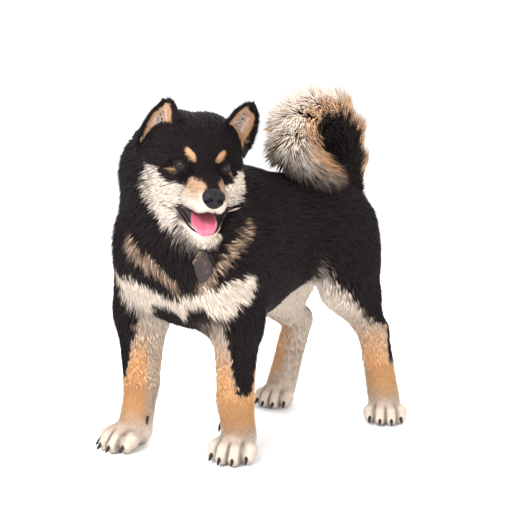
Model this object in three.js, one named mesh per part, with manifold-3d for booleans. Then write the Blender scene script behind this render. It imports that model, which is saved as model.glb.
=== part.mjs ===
// A shiba inu with a black and tan coat, standing, life size, in millimetres.
// +Z is up and the body lies along Y with the chest towards -Y, so the dog's left is +X.
// The outline is the outside of the coat. The flesh is one smooth field of cones, ellipsoids and
// lofts, meshed on grids and parted into nodes by thin cuts.
import * as THREE from "three";
import { mergeVertices } from "three/addons/utils/BufferGeometryUtils.js";
import Module from "manifold-3d";

const wasm = await Module();
wasm.setup();
const { Manifold, Mesh } = wasm;

// Driving dimensions
const GAP = 0.3; // between two nodes that touch
const CHEST_TURN = 10; // degrees that the forequarters turn to the dog's left
const HEAD_YAW = 65; // degrees from -Y to the dog's left
const HEAD_PITCH = 8; // degrees that the muzzle points down
const HEAD_ROLL = 4; // degrees that the crown leans to the dog's left
const EYE_MID = [88, -166, 410]; // midway between the eyes, where the head's own axes start
const EYE_SPREAD = 26.5; // from the middle of the face to an eye's centre
const EYE_RISE = -2;
const EYE_RADIUS = 10;
const EAR_THICKNESS = 6;
const EAR_CUP = 13; // how far an ear's middle lies behind its edges
const NOSE_AT = [79, 0, -27]; // forward, left and up from EYE_MID
const BODY_CELL = [18, 20, 18];
const LEG_CELL = [12, 12, 20];
const PAW_CELL = [10.5, 10.5, 10.5];
const HEAD_CELL = [11, 11, 11];
const FINE_CELL = [3.7, 3.7, 3.7];
const TAIL_CELL = [17, 17, 17];

// Cross-sections of the body from front to back: y, top, bottom, half width
const CHEST_PIVOT_Y = -30;
const CHEST_RINGS = [
  [-200, 340, 238, 88],
  [-165, 362, 208, 100],
  [-110, 384, 180, 104],
  [-50, 392, 178, 102],
  [0, 390, 188, 94],
  [50, 382, 205, 80],
];
const TRUNK_RINGS = [
  [-110, 380, 195, 88],
  [-50, 392, 186, 94],
  [0, 393, 196, 93],
  [70, 388, 220, 87],
  [120, 384, 238, 82],
  [150, 376, 250, 74],
  [190, 346, 272, 54],
];

// Joints of each leg, and the paw's place on the floor with the way its toes point
const FORELEGS = {
  left: {
    shoulder: [76, -112, 262],
    elbow: [81, -105, 190],
    wrist: [75, -103, 80],
    paw: [78, -104],
    toes: 32,
    stout: 33,
  },
  right: {
    shoulder: [-77, -148, 258],
    elbow: [-85, -150, 190],
    wrist: [-76, -159, 80],
    paw: [-60, -193],
    toes: 8,
    stout: 39,
  },
};
const HINDLEGS = {
  left: { hip: [42, 119, 301], knee: [72, 117, 222], hock: [74, 176, 140], paw: [94, 183], toes: 45 },
  right: { hip: [-42, 117, 301], knee: [-71, 71, 202], hock: [-77, 154, 138], paw: [-80, 112], toes: 25 },
};
const FORE_PAW_SCALE = 1.14;
const HIND_PAW_SCALE = 1.08;
const PAW_ROOF = 60; // height of the cut over each paw

// The tail's middle line, from the root over the back to the tip on the dog's left, and its radii
const TAIL_LINE = [
  [0, 180, 345],
  [-3, 191, 395],
  [-4, 184, 438],
  [0, 155, 468],
  [6, 112, 475],
  [16, 72, 462],
  [31, 49, 437],
  [44, 54, 410],
  [56, 76, 391],
  [63, 101, 380],
];
const TAIL_RADII = [28, 33, 39, 42, 43, 44, 44, 40, 31, 16];

// Vectors
const add = (a, b, s = 1) => [a[0] + s * b[0], a[1] + s * b[1], a[2] + s * b[2]];
const scale = (a, s) => [a[0] * s, a[1] * s, a[2] * s];
const dot = (a, b) => a[0] * b[0] + a[1] * b[1] + a[2] * b[2];
const cross = (a, b) => [a[1] * b[2] - a[2] * b[1], a[2] * b[0] - a[0] * b[2], a[0] * b[1] - a[1] * b[0]];
const unit = (a) => scale(a, 1 / Math.hypot(...a));
const mix = (a, b, t) => add(scale(a, 1 - t), b, t);
const rad = THREE.MathUtils.degToRad;
const heading = (degrees) => [Math.sin(rad(degrees)), -Math.cos(rad(degrees)), 0];
const UP = [0, 0, 1];

// The head's own axes: forward along the muzzle, to the dog's left, and up through the crown
const levelForward = heading(HEAD_YAW);
const levelLeft = [Math.cos(rad(HEAD_YAW)), Math.sin(rad(HEAD_YAW)), 0];
const FORWARD = add(scale(levelForward, Math.cos(rad(HEAD_PITCH))), UP, -Math.sin(rad(HEAD_PITCH)));
const pitchedUp = add(scale(levelForward, Math.sin(rad(HEAD_PITCH))), UP, Math.cos(rad(HEAD_PITCH)));
const CROWN = add(scale(pitchedUp, Math.cos(rad(HEAD_ROLL))), levelLeft, Math.sin(rad(HEAD_ROLL)));
const LEFT = add(scale(levelLeft, Math.cos(rad(HEAD_ROLL))), pitchedUp, -Math.sin(rad(HEAD_ROLL)));
const headPoint = (f, l, u) => add(add(add(EYE_MID, FORWARD, f), LEFT, l), CROWN, u);
const headWay = (f, l, u) => add(add(scale(FORWARD, f), LEFT, l), CROWN, u);

// Fields: a function of x, y and z that is under 0 inside, and about the distance elsewhere
const softMin = (a, b, k) => {
  const h = Math.max(k - Math.abs(a - b), 0) / k;
  return Math.min(a, b) - (h * h * k) / 4;
};
const softMax = (a, b, k) => -softMin(-a, -b, k);
const joined = (k, first, ...rest) => (x, y, z) =>
  rest.reduce((d, f) => softMin(d, f(x, y, z), k), first(x, y, z));
const cutBy = (k, body, tool) => (x, y, z) => softMax(body(x, y, z), -tool(x, y, z), k);

function cone(a, b, ra, rb) {
  const ab = add(b, a, -1);
  const long2 = dot(ab, ab);
  return (x, y, z) => {
    const px = x - a[0];
    const py = y - a[1];
    const pz = z - a[2];
    const t = Math.min(1, Math.max(0, (px * ab[0] + py * ab[1] + pz * ab[2]) / long2));
    return Math.hypot(px - t * ab[0], py - t * ab[1], pz - t * ab[2]) - (ra + (rb - ra) * t);
  };
}

function ellipsoid(c, r) {
  return (x, y, z) => {
    const qx = (x - c[0]) / r[0];
    const qy = (y - c[1]) / r[1];
    const qz = (z - c[2]) / r[2];
    const near = Math.hypot(qx, qy, qz);
    const slope = Math.hypot(qx / r[0], qy / r[1], qz / r[2]);
    return slope < 1e-9 ? -Math.min(...r) : (near * (near - 1)) / slope;
  };
}

// A field given in the head's own axes, alike on both sides of a middle that bends with the neck
const HEAD_BEND = -7;
function inHead(field) {
  return (x, y, z) => {
    const p = [x - EYE_MID[0], y - EYE_MID[1], z - EYE_MID[2]];
    const forward = dot(p, FORWARD);
    const t = Math.min(1, Math.max(0, (-10 - forward) / 45));
    return field(forward, Math.abs(dot(p, LEFT) - HEAD_BEND * t * t * (3 - 2 * t)), dot(p, CROWN));
  };
}

// A smooth curve through rows of numbers that never overshoots them, as a function of the first
function smoothRows(rows) {
  const x = rows.map((r) => r[0]);
  const slopes = rows.map((_, i) => {
    if (i === 0 || i === rows.length - 1) return null;
    const before = x[i] - x[i - 1];
    const after = x[i + 1] - x[i];
    return rows[i].map((v, c) => {
      const d0 = (v - rows[i - 1][c]) / before;
      const d1 = (rows[i + 1][c] - v) / after;
      if (d0 * d1 <= 0) return 0;
      const w0 = 2 * after + before;
      const w1 = 2 * before + after;
      return (w0 + w1) / (w0 / d0 + w1 / d1);
    });
  });
  const last = rows.length - 1;
  slopes[0] = rows[0].map((v, c) => (rows[1][c] - v) / (x[1] - x[0]));
  slopes[last] = rows[last].map((v, c) => (v - rows[last - 1][c]) / (x[last] - x[last - 1]));
  return (at) => {
    const q = Math.min(x[last], Math.max(x[0], at));
    let i = 0;
    while (i < last - 1 && q > x[i + 1]) i += 1;
    const h = x[i + 1] - x[i];
    const t = (q - x[i]) / h;
    const a = 2 * t ** 3 - 3 * t ** 2 + 1;
    const b = t ** 3 - 2 * t ** 2 + t;
    const c = -2 * t ** 3 + 3 * t ** 2;
    const d = t ** 3 - t ** 2;
    return rows[i].map((v, n) => a * v + b * h * slopes[i][n] + c * rows[i + 1][n] + d * h * slopes[i + 1][n]);
  };
}

// A body lofted along Y through rings, with round ends, a little wider above its middle
function loft(rings, flare, squareness, frontRound = 60, rearRound = 55) {
  const at = smoothRows(rings);
  const first = rings[0][0];
  const last = rings[rings.length - 1][0];
  return (x, y, z) => {
    const [, top, bottom, half] = at(y);
    const high = (top - bottom) / 2;
    const v = (z - (top + bottom) / 2) / high;
    const u = Math.abs(x) / (half * (1 + flare * v));
    const front = Math.max(0, (first + frontRound - y) / frontRound);
    const rear = Math.max(0, (y - last + rearRound) / rearRound);
    const ring = (u ** squareness + Math.abs(v) ** squareness) ** (2 / squareness);
    return (Math.sqrt(ring + front * front + rear * rear) - 1) * Math.min(half, high);
  };
}

// Trunk, chest and neck
const chestForward = heading(CHEST_TURN);
const chestLeft = [Math.cos(rad(CHEST_TURN)), Math.sin(rad(CHEST_TURN)), 0];
const chestLoft = loft(CHEST_RINGS, 0.05, 2.2);
const chest = (x, y, z) => {
  const p = [x, y - CHEST_PIVOT_Y, 0];
  return chestLoft(dot(p, chestLeft), -dot(p, chestForward), z);
};
const trunk = joined(40, loft(TRUNK_RINGS, 0.06, 2.3), chest);
const neck = joined(
  30,
  cone([-10, -108, 315], headPoint(-84, -19, -31), 92, 78),
  cone([0, -150, 290], headPoint(-50, 0, -60), 66, 44),
);

// Head, lower jaw and the full fur under the cheeks
const skullField = inHead(
  cutBy(
    12,
    joined(
      8,
      joined(
        16,
        joined(
          22,
          ellipsoid([-60, 0, 0], [66, 64, 60]),
          ellipsoid([-58, 28, 16], [48, 36, 44]),
          ellipsoid([-20, 0, 14], [40, 46, 25]),
          ellipsoid([-44, 34, -34], [44, 36, 42]),
        ),
        cone([0, 0, -22], [62, 0, -27.5], 30, 18.5),
      ),
      cone([26, 17, -38], [60, 9, -40], 15.5, 12.5),
    ),
    ellipsoid([11, EYE_SPREAD + 1, EYE_RISE], [14, 9, 8]),
  ),
);
const ruff = inHead(ellipsoid([-34, 14, -74], [46, 46, 44]));
const head = joined(24, skullField, ruff);
const jaw = inHead(
  joined(8, cone([-24, 0, -68], [47, 0, -84], 26, 13.5), cone([-20, 22, -62], [44, 10.5, -80], 17, 9.5)),
);

// Legs
function pawBack(leg) {
  return add([leg.paw[0], leg.paw[1], 26], heading(leg.toes), -13);
}
function foreleg(leg) {
  const upper = joined(
    20,
    cone(leg.shoulder, leg.elbow, 46, leg.stout + 1),
    ellipsoid(add(leg.elbow, [0, 8, 30]), [30, leg.stout, 48]),
  );
  const lower = cone(leg.elbow, leg.wrist, leg.stout - 1, 25);
  return joined(10, joined(16, upper, lower), cone(leg.wrist, pawBack(leg), 25, 26));
}
function hindleg(leg) {
  const thigh = joined(
    25,
    cone(leg.hip, leg.knee, 66, 38),
    ellipsoid(add(mix(leg.hip, leg.knee, 0.5), [0, 20, -8]), [42, 56, 78]),
  );
  const calf = joined(
    14,
    cone(leg.knee, leg.hock, 35, 24),
    cone(add(leg.knee, [0, 16, 0]), add(mix(leg.knee, leg.hock, 0.38), [0, 10, 6]), 32, 28),
  );
  const point = cone(add(leg.hock, [0, 10, 6]), leg.hock, 12, 18);
  return joined(9, joined(20, thigh, calf), joined(8, point, cone(leg.hock, pawBack(leg), 23, 26)));
}

// A paw's toes, two long and two short, as places from the paw's middle: root and tip sideways, reach, radius
const TOES = [
  { root: -17, tip: -22, reach: 21, radius: 9.3 },
  { root: -6.3, tip: -8, reach: 31, radius: 10 },
  { root: 6.3, tip: 8, reach: 31, radius: 10 },
  { root: 17, tip: 22, reach: 21, radius: 9.3 },
];
function pawPlace(leg, size) {
  const f = heading(leg.toes);
  const l = [-f[1], f[0], 0];
  return (ahead, side, up) => add(add([leg.paw[0], leg.paw[1], up * size], f, ahead * size), l, side * size);
}
function pawField(leg, size) {
  const at = pawPlace(leg, size);
  const toes = TOES.map((t) =>
    joined(
      3,
      cone(at(2, t.root, 19), at(t.reach - 8, t.tip, 16), t.radius * size, t.radius * 1.08 * size),
      cone(at(t.reach - 8, t.tip, 16), at(t.reach, t.tip, 10), t.radius * 1.08 * size, t.radius * 0.95 * size),
    ),
  );
  return joined(7, cone(at(-16, 0, 15), at(8, 0, 19), 17 * size, 17 * size), joined(2.5, ...toes));
}

const legs = [
  ...Object.entries(FORELEGS).map(([side, leg]) => ({
    name: "front_" + side,
    leg,
    size: FORE_PAW_SCALE,
    field: foreleg(leg),
  })),
  ...Object.entries(HINDLEGS).map(([side, leg]) => ({
    name: "hind_" + side,
    leg,
    size: HIND_PAW_SCALE,
    field: hindleg(leg),
  })),
];
const torso = joined(26, trunk, ...legs.map((l) => l.field));
const flesh = joined(22, joined(40, torso, neck), head);

// Meshes a field on a grid of cells: one vertex in each cell that the surface crosses, moved onto the surface
function meshField(field, low, high, cell) {
  const n = low.map((v, i) => Math.ceil((high[i] - v) / cell[i]) + 1);
  const place = (i, j, k) => [low[0] + i * cell[0], low[1] + j * cell[1], low[2] + k * cell[2]];
  const index = (i, j, k) => (i * n[1] + j) * n[2] + k;
  const value = new Float64Array(n[0] * n[1] * n[2]).fill(1);
  for (let i = 1; i < n[0] - 1; i += 1)
    for (let j = 1; j < n[1] - 1; j += 1)
      for (let k = 1; k < n[2] - 1; k += 1) value[index(i, j, k)] = field(...place(i, j, k));
  const CORNERS = [0, 1, 2, 3, 4, 5, 6, 7].map((c) => [c & 1, (c >> 1) & 1, (c >> 2) & 1]);
  const EDGES = [];
  CORNERS.forEach((a, p) =>
    CORNERS.forEach((b, q) => {
      const apart = Math.abs(a[0] - b[0]) + Math.abs(a[1] - b[1]) + Math.abs(a[2] - b[2]);
      if (p < q && apart === 1) EDGES.push([p, q]);
    }),
  );
  const vertexOf = new Int32Array(value.length).fill(-1);
  const points = [];
  for (let i = 0; i < n[0] - 1; i += 1)
    for (let j = 0; j < n[1] - 1; j += 1)
      for (let k = 0; k < n[2] - 1; k += 1) {
        const v = CORNERS.map((c) => value[index(i + c[0], j + c[1], k + c[2])]);
        let sum = [0, 0, 0];
        let count = 0;
        for (const [p, q] of EDGES)
          if (v[p] < 0 !== v[q] < 0) {
            sum = add(sum, mix(CORNERS[p], CORNERS[q], v[p] / (v[p] - v[q])));
            count += 1;
          }
        if (!count) continue;
        const at = scale(sum, 1 / count);
        vertexOf[index(i, j, k)] = points.length;
        points.push(onSurface(field, place(i + at[0], j + at[1], k + at[2]), Math.min(...cell) * 0.4));
      }
  const faces = [];
  const quad = (a, b, c, d, turned) => {
    const [p, q, r, s] = turned ? [d, c, b, a] : [a, b, c, d];
    const long = Math.hypot(...add(points[p], points[r], -1)) < Math.hypot(...add(points[q], points[s], -1));
    faces.push(...(long ? [p, q, r, p, r, s] : [q, r, s, q, s, p]));
  };
  for (let i = 0; i < n[0] - 1; i += 1)
    for (let j = 0; j < n[1] - 1; j += 1)
      for (let k = 0; k < n[2] - 1; k += 1) {
        const inside = value[index(i, j, k)] < 0;
        const at = (a, b, c) => vertexOf[index(i - a, j - b, k - c)];
        const changes = (a, b, c) => inside !== value[index(i + a, j + b, k + c)] < 0;
        if (changes(1, 0, 0)) quad(at(0, 1, 1), at(0, 0, 1), at(0, 0, 0), at(0, 1, 0), !inside);
        if (changes(0, 1, 0)) quad(at(1, 0, 1), at(1, 0, 0), at(0, 0, 0), at(0, 0, 1), !inside);
        if (changes(0, 0, 1)) quad(at(1, 1, 0), at(0, 1, 0), at(0, 0, 0), at(1, 0, 0), !inside);
      }
  return solidFrom(points.flat(), faces);
}

// Moves a point to where the field is 0, along the field's slope, unless that is further than reach
function onSurface(field, p, reach) {
  let q = p;
  for (let step = 0; step < 3; step += 1) {
    const d = field(...q);
    if (Math.abs(d) > reach) return q;
    const e = 0.5;
    const g = [
      (field(q[0] + e, q[1], q[2]) - field(q[0] - e, q[1], q[2])) / (2 * e),
      (field(q[0], q[1] + e, q[2]) - field(q[0], q[1] - e, q[2])) / (2 * e),
      (field(q[0], q[1], q[2] + e) - field(q[0], q[1], q[2] - e)) / (2 * e),
    ];
    q = add(q, g, -d / Math.max(dot(g, g), 0.2));
  }
  return q;
}

// Solids from points and triangles, and from three.js geometries placed by a matrix
function solidFrom(positions, faces) {
  return new Manifold(
    new Mesh({ numProp: 3, vertProperties: new Float32Array(positions), triVerts: new Uint32Array(faces) }),
  );
}
function solidOf(geometry, matrix = new THREE.Matrix4()) {
  const bare = geometry.index ? geometry.toNonIndexed() : geometry.clone();
  bare.applyMatrix4(matrix);
  bare.deleteAttribute("normal");
  bare.deleteAttribute("uv");
  const merged = mergeVertices(bare, 1e-3);
  return solidFrom(merged.attributes.position.array, merged.index.array);
}
const grown = (field, by) => (x, y, z) => field(x, y, z) - by;
const largest = (solid) => solid.decompose().reduce((a, b) => (b.volume() > a.volume() ? b : a));

// A closed tube of rings of points, capped at both ends with fans
function tubeOf(rings) {
  const sides = rings[0].length;
  const points = rings.flat();
  const faces = [];
  for (let r = 0; r < rings.length - 1; r += 1)
    for (let s = 0; s < sides; s += 1) {
      const a = r * sides + s;
      const b = r * sides + ((s + 1) % sides);
      faces.push(a, b, b + sides, a, b + sides, a + sides);
    }
  for (const [ring, turned] of [
    [0, true],
    [rings.length - 1, false],
  ]) {
    const middle = points.length;
    points.push(scale(rings[ring].reduce((a, b) => add(a, b)), 1 / sides));
    for (let s = 0; s < sides; s += 1) {
      const a = ring * sides + s;
      const b = ring * sides + ((s + 1) % sides);
      faces.push(...(turned ? [b, a, middle] : [a, b, middle]));
    }
  }
  const solid = solidFrom(points.flat(), faces);
  return solid.volume() < 0 ? solidFrom(points.flat(), faces.reverse()) : solid;
}

// A box that parts a leg from the body: everything outside a slanting plane, between two y
function legCutter(side, foot, slope, yLow, yHigh, spare) {
  const tilt = Math.atan2(slope[1], slope[0]);
  const size = 400;
  const box = new THREE.BoxGeometry(size + spare * 2, yHigh - yLow + spare * 2, size * 2);
  const matrix = new THREE.Matrix4()
    .makeTranslation(side * foot[0], (yLow + yHigh) / 2, foot[1])
    .multiply(new THREE.Matrix4().makeRotationY(side * (Math.PI / 2 - tilt)))
    .multiply(new THREE.Matrix4().makeTranslation((side * size) / 2, 0, 0));
  return solidOf(box, matrix);
}

// The parting planes, each as a way and how far along it
const plane = (way, point) => ({ way: unit(way), offset: dot(unit(way), point) });
const keepBeyond = (solid, p) => solid.trimByPlane(p.way, p.offset + GAP / 2);
const keepBefore = (solid, p) => solid.trimByPlane(scale(p.way, -1), -(p.offset - GAP / 2));
const NAPE = plane(headWay(0.874, 0, 0.486), headPoint(-55, 0, -31));
const WITHERS = plane([0, -0.618, 0.786], [0, -140, 338]);
const CHIN = plane(headWay(0.1, 0, 0.995), headPoint(0, 0, -114));
const FLOOR = plane(UP, [0, 0, -GAP / 2]);

// The space of the head: beyond the nape and above the chin's fur
function headZone(spare) {
  const size = 330;
  const matrix = new THREE.Matrix4().makeTranslation(...EYE_MID);
  const cube = solidOf(new THREE.BoxGeometry(size, size, size), matrix);
  return cube.trimByPlane(NAPE.way, NAPE.offset - spare).trimByPlane(CHIN.way, CHIN.offset - spare);
}

const nodes = new Map();

// Trunk, neck and the upper part of each leg come from one mesh of the flesh
function bodyNodes() {
  const whole = meshField(flesh, [-150, -262, 90], [150, 262, 520], BODY_CELL).subtract(headZone(GAP / 2));
  nodes.set("neck", largest(keepBeyond(whole, WITHERS)));
  let rest = keepBefore(whole, WITHERS);
  const CUTS = {
    front_left: [1, [58, 205], [50, 57], -168, -50],
    front_right: [-1, [58, 205], [50, 57], -212, -96],
    hind_left: [1, [28, 236], [58, 95], 44, 300],
    hind_right: [-1, [28, 236], [58, 95], 24, 300],
  };
  for (const { name, leg } of legs) {
    const [side, foot, slope, yLow, yHigh] = CUTS[name];
    const top = rest.intersect(legCutter(side, foot, slope, yLow, yHigh, -GAP / 2));
    rest = rest.subtract(legCutter(side, foot, slope, yLow, yHigh, GAP / 2));
    nodes.set(name + "_upper", largest(keepBeyond(top, kneeCut(leg))));
  }
  nodes.set("torso", largest(rest));
}

// The cut below the elbow or the knee, square to the bone or, at the knee, more level
function kneeCut(leg) {
  if (leg.elbow) return plane(add(leg.elbow, leg.wrist, -1), mix(leg.elbow, leg.wrist, 0.1));
  return plane(add(unit(add(leg.knee, leg.hock, -1)), UP, 1.8), mix(leg.knee, leg.hock, 0.3));
}

// Lower legs and paws, on finer grids
function legNodes() {
  for (const { name, leg, size, field } of legs) {
    const wrist = plane(UP, [0, 0, PAW_ROOF]);
    const upper = leg.elbow ?? leg.knee;
    const lower = leg.wrist ?? leg.hock;
    const span = [upper, lower, [leg.paw[0], leg.paw[1], 0]];
    const low = [0, 1].map((i) => Math.min(...span.map((p) => p[i])) - 60);
    const high = [0, 1].map((i) => Math.max(...span.map((p) => p[i])) + 60);
    const shank = meshField(field, [...low, PAW_ROOF - 26], [...high, upper[2] + 70], LEG_CELL);
    nodes.set(name + "_lower", largest(keepBeyond(keepBefore(shank, kneeCut(leg)), wrist)));
    const foot = joined(6, field, pawField(leg, size));
    const [x, y] = leg.paw;
    const paw = meshField(foot, [x - 72, y - 72, -20], [x + 72, y + 72, PAW_ROOF + 22], PAW_CELL);
    nodes.set(name + "_paw", largest(keepBeyond(keepBefore(paw, wrist), FLOOR)));
  }
}

// Claws: a short curved cone at the end of each toe, and a dewclaw inside each wrist
const CLAW = { length: 9.5, radius: 3, sides: 6 };
function claw(root, way, size) {
  const side = unit(cross(way, UP));
  const out = cross(side, way);
  const SHAPE = [
    [-0.5, 1.0, 0],
    [0.15, 0.95, 0],
    [0.6, 0.62, -0.1],
    [1, 0.12, -0.28],
  ];
  const rings = SHAPE.map(([along, thick, drop]) => {
    const middle = add(add(root, way, along * CLAW.length * size), out, drop * CLAW.length * size);
    return Array.from({ length: CLAW.sides }, (_, s) => {
      const a = (2 * Math.PI * s) / CLAW.sides;
      const r = CLAW.radius * thick * size;
      return add(add(middle, side, r * Math.cos(a) * 0.8), out, r * Math.sin(a));
    });
  });
  return tubeOf(rings);
}
function clawNodes() {
  for (const { name, leg, size } of legs) {
    const at = pawPlace(leg, size);
    const paw = name + "_paw";
    TOES.forEach((t, i) => {
      const way = unit(add(add(at(1, (t.tip - t.root) * 0.03, 0), at(0, 0, 0), -1), UP, -0.42));
      const tip = claw(at(t.reach + 5.5, t.tip, 10.5), way, size);
      const clear = claw(at(t.reach + 5.5, t.tip, 10.5), way, size * 1.12);
      nodes.set(paw, largest(nodes.get(paw).subtract(clear)));
      nodes.set(name + "_claw_" + (i + 1), tip);
    });
    if (!leg.wrist) continue;
    const inner = name.endsWith("left") ? -1 : 1;
    const f = heading(leg.toes);
    const l = [-f[1], f[0], 0];
    const root = add(add(mix(leg.wrist, pawBack(leg), 0.72), l, inner * 26), f, 3);
    const way = unit(add(add(scale(f, 0.5), l, inner * 0.25), UP, -0.9));
    for (const host of [name + "_lower", paw])
      nodes.set(host, largest(nodes.get(host).subtract(claw(root, way, 1.0))));
    nodes.set(name + "_dewclaw", claw(root, way, 0.88));
  }
}

// The head: skull, lids, lips and eye sockets, then the jaw, tongue, nose, eyes and ears
function ringAround(centre, across, up, out, [wide, high], thick, steps, sides) {
  const rings = Array.from({ length: steps }, (_, i) => {
    const a = (2 * Math.PI * i) / steps;
    const pinch = Math.abs(Math.sin(a)) ** 0.8;
    const lidHeight = high * pinch * Math.sign(Math.sin(a));
    const flat = add(add(centre, across, wide * Math.cos(a)), up, lidHeight);
    const middle = add(flat, out, -Math.abs(Math.cos(a)) * 3.2);
    const away = unit(add(scale(across, Math.cos(a)), up, Math.sin(a)));
    return Array.from({ length: sides }, (_, s) => {
      const b = (2 * Math.PI * s) / sides;
      return add(add(middle, away, thick * Math.cos(b)), out, thick * 1.25 * Math.sin(b));
    });
  });
  const points = rings.flat();
  const faces = [];
  for (let r = 0; r < steps; r += 1)
    for (let s = 0; s < sides; s += 1) {
      const a = r * sides + s;
      const b = r * sides + ((s + 1) % sides);
      const c = ((r + 1) % steps) * sides + ((s + 1) % sides);
      const d = ((r + 1) % steps) * sides + s;
      faces.push(a, b, c, a, c, d);
    }
  const solid = solidFrom(points.flat(), faces);
  return solid.volume() < 0 ? solidFrom(points.flat(), faces.reverse()) : solid;
}
function eyeAxes(side) {
  const out = unit(headWay(0.86, side * 0.5, 0.06));
  const slant = headWay(-0.5, side * 0.86, 0.3);
  const across = unit(add(slant, out, -dot(slant, out)));
  const centre = headPoint(0, side * EYE_SPREAD, EYE_RISE);
  return { centre, out, across, up: scale(cross(out, across), side) };
}
function bandAlong(points, radius, sides = 5) {
  const curve = new THREE.CatmullRomCurve3(points.map((p) => new THREE.Vector3(...headPoint(...p))));
  const steps = points.length * 2;
  const rings = Array.from({ length: steps + 1 }, (_, i) => {
    const at = curve.getPoint(i / steps).toArray();
    const way = curve.getTangent(i / steps).toArray();
    const side = unit(cross(way, CROWN));
    const up = cross(side, way);
    const r = radius * (0.55 + 0.45 * Math.sin(Math.PI * Math.min(1, 0.25 + (0.9 * i) / steps)));
    return Array.from({ length: sides }, (_, s) => {
      const a = (2 * Math.PI * s) / sides;
      return add(add(at, side, r * Math.cos(a)), up, r * Math.sin(a));
    });
  });
  return tubeOf(rings);
}
const UPPER_LIP = [
  [15, 33, -49],
  [28, 26, -50.5],
  [44, 20.5, -52],
  [60, 13.5, -50.5],
  [70, 4, -46],
];
const LOWER_LIP = [
  [14, 31, -54],
  [23, 23.5, -63],
  [34, 19, -70],
  [46, 14.5, -73.5],
  [55, 8, -74.5],
  [59, 2, -74.5],
];
const sided = (points, side) => points.map(([f, l, u]) => [f, side * l, u]);

function headNodes() {
  const low = headPoint(0, 0, 0).map((v) => v - 150);
  const high = headPoint(0, 0, 0).map((v) => v + 150);
  let skull = meshField(flesh, low, high, HEAD_CELL).intersect(headZone(-GAP / 2));
  const extras = [];
  for (const side of [1, -1]) {
    const e = eyeAxes(side);
    const lids = add(e.centre, e.out, EYE_RADIUS * 0.72);
    extras.push(ringAround(lids, e.across, e.up, e.out, [10, 5.6], 2.2, 14, 5));
    extras.push(bandAlong(sided(UPPER_LIP, side), 2.7));
  }
  skull = Manifold.union([skull, ...extras]);
  for (const side of [1, -1]) {
    const e = eyeAxes(side);
    const ball = new THREE.Matrix4().makeTranslation(...e.centre);
    skull = skull.subtract(solidOf(new THREE.SphereGeometry(EYE_RADIUS + GAP, 12, 8), ball));
    nodes.set(side > 0 ? "eye_left" : "eye_right", solidOf(new THREE.SphereGeometry(EYE_RADIUS, 12, 8), ball));
  }
  nodes.set("head", largest(skull));
}

function jawNodes() {
  const low = headPoint(20, 0, -70).map((v) => v - 90);
  const high = headPoint(20, 0, -70).map((v) => v + 90);
  const bare = meshField(jaw, low, high, [7.5, 7.5, 7.5]);
  const lips = [1, -1].map((side) => bandAlong(sided(LOWER_LIP, side), 2.3));
  const clear = meshField(grown(flesh, GAP), low, high, HEAD_CELL);
  const tongueClear = tongue(GAP);
  const whole = Manifold.union([bare, ...lips]);
  const made = whole.subtract(clear).subtract(tongueClear).subtract(nodes.get("head"));
  nodes.set("lower_jaw", largest(made));
  nodes.set("tongue", largest(tongue(0).subtract(clear).subtract(nodes.get("head"))));
}

// The tongue lies in the jaw, is broadest near its front, and laps over the lower lip
const TONGUE = [
  { at: [6, -56], half: 11, thick: 3.5 },
  { at: [22, -59.5], half: 14, thick: 4 },
  { at: [38, -63], half: 16, thick: 4.2 },
  { at: [52, -66], half: 16.5, thick: 4.2 },
  { at: [61, -69], half: 15, thick: 4 },
  { at: [66, -73], half: 11.5, thick: 3.4 },
  { at: [67.5, -77.5], half: 5.5, thick: 2.2 },
];
function tongue(spare) {
  const SIDES = 10;
  const rings = TONGUE.map(({ at, half, thick }, i) => {
    const before = TONGUE[Math.max(0, i - 1)].at;
    const after = TONGUE[Math.min(TONGUE.length - 1, i + 1)].at;
    const way = unit([after[0] - before[0], after[1] - before[1], 0]);
    return Array.from({ length: SIDES }, (_, s) => {
      const a = (2 * Math.PI * s) / SIDES;
      const side = (half + spare) * Math.cos(a);
      const groove = 1 - 0.35 * Math.max(0, Math.sin(a)) * (1 - Math.abs(Math.cos(a)));
      const up = (thick + spare) * Math.sin(a) * groove + (side * side) * 0.006;
      return headPoint(at[0] - way[1] * up, side, at[1] + way[0] * up);
    });
  });
  return tubeOf(rings);
}

// The nose: a rounded pad, flat in front, with two comma-shaped nostrils
function noseNode() {
  const pad = joined(
    5,
    ellipsoid(add(NOSE_AT, [-3, 0, 2]), [10, 14, 9.5]),
    ellipsoid(add(NOSE_AT, [1, 5, -1]), [8, 8, 8.5]),
    ellipsoid(add(NOSE_AT, [0, 0, -7]), [7, 7, 6]),
  );
  const nostril = joined(
    2,
    ellipsoid(add(NOSE_AT, [9, 6, -1.5]), [6, 3.1, 2.8]),
    ellipsoid(add(NOSE_AT, [5, 11, -3.5]), [6, 3.6, 1.8]),
  );
  const field = inHead(cutBy(3, pad, nostril));
  const low = headPoint(...NOSE_AT).map((v) => v - 26);
  const high = headPoint(...NOSE_AT).map((v) => v + 26);
  const made = meshField(field, low, high, FINE_CELL);
  const clear = meshField(inHead(grown(pad, GAP)), low, high, FINE_CELL);
  nodes.set("head", largest(nodes.get("head").subtract(clear)));
  nodes.set("nose", largest(made));
}

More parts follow.
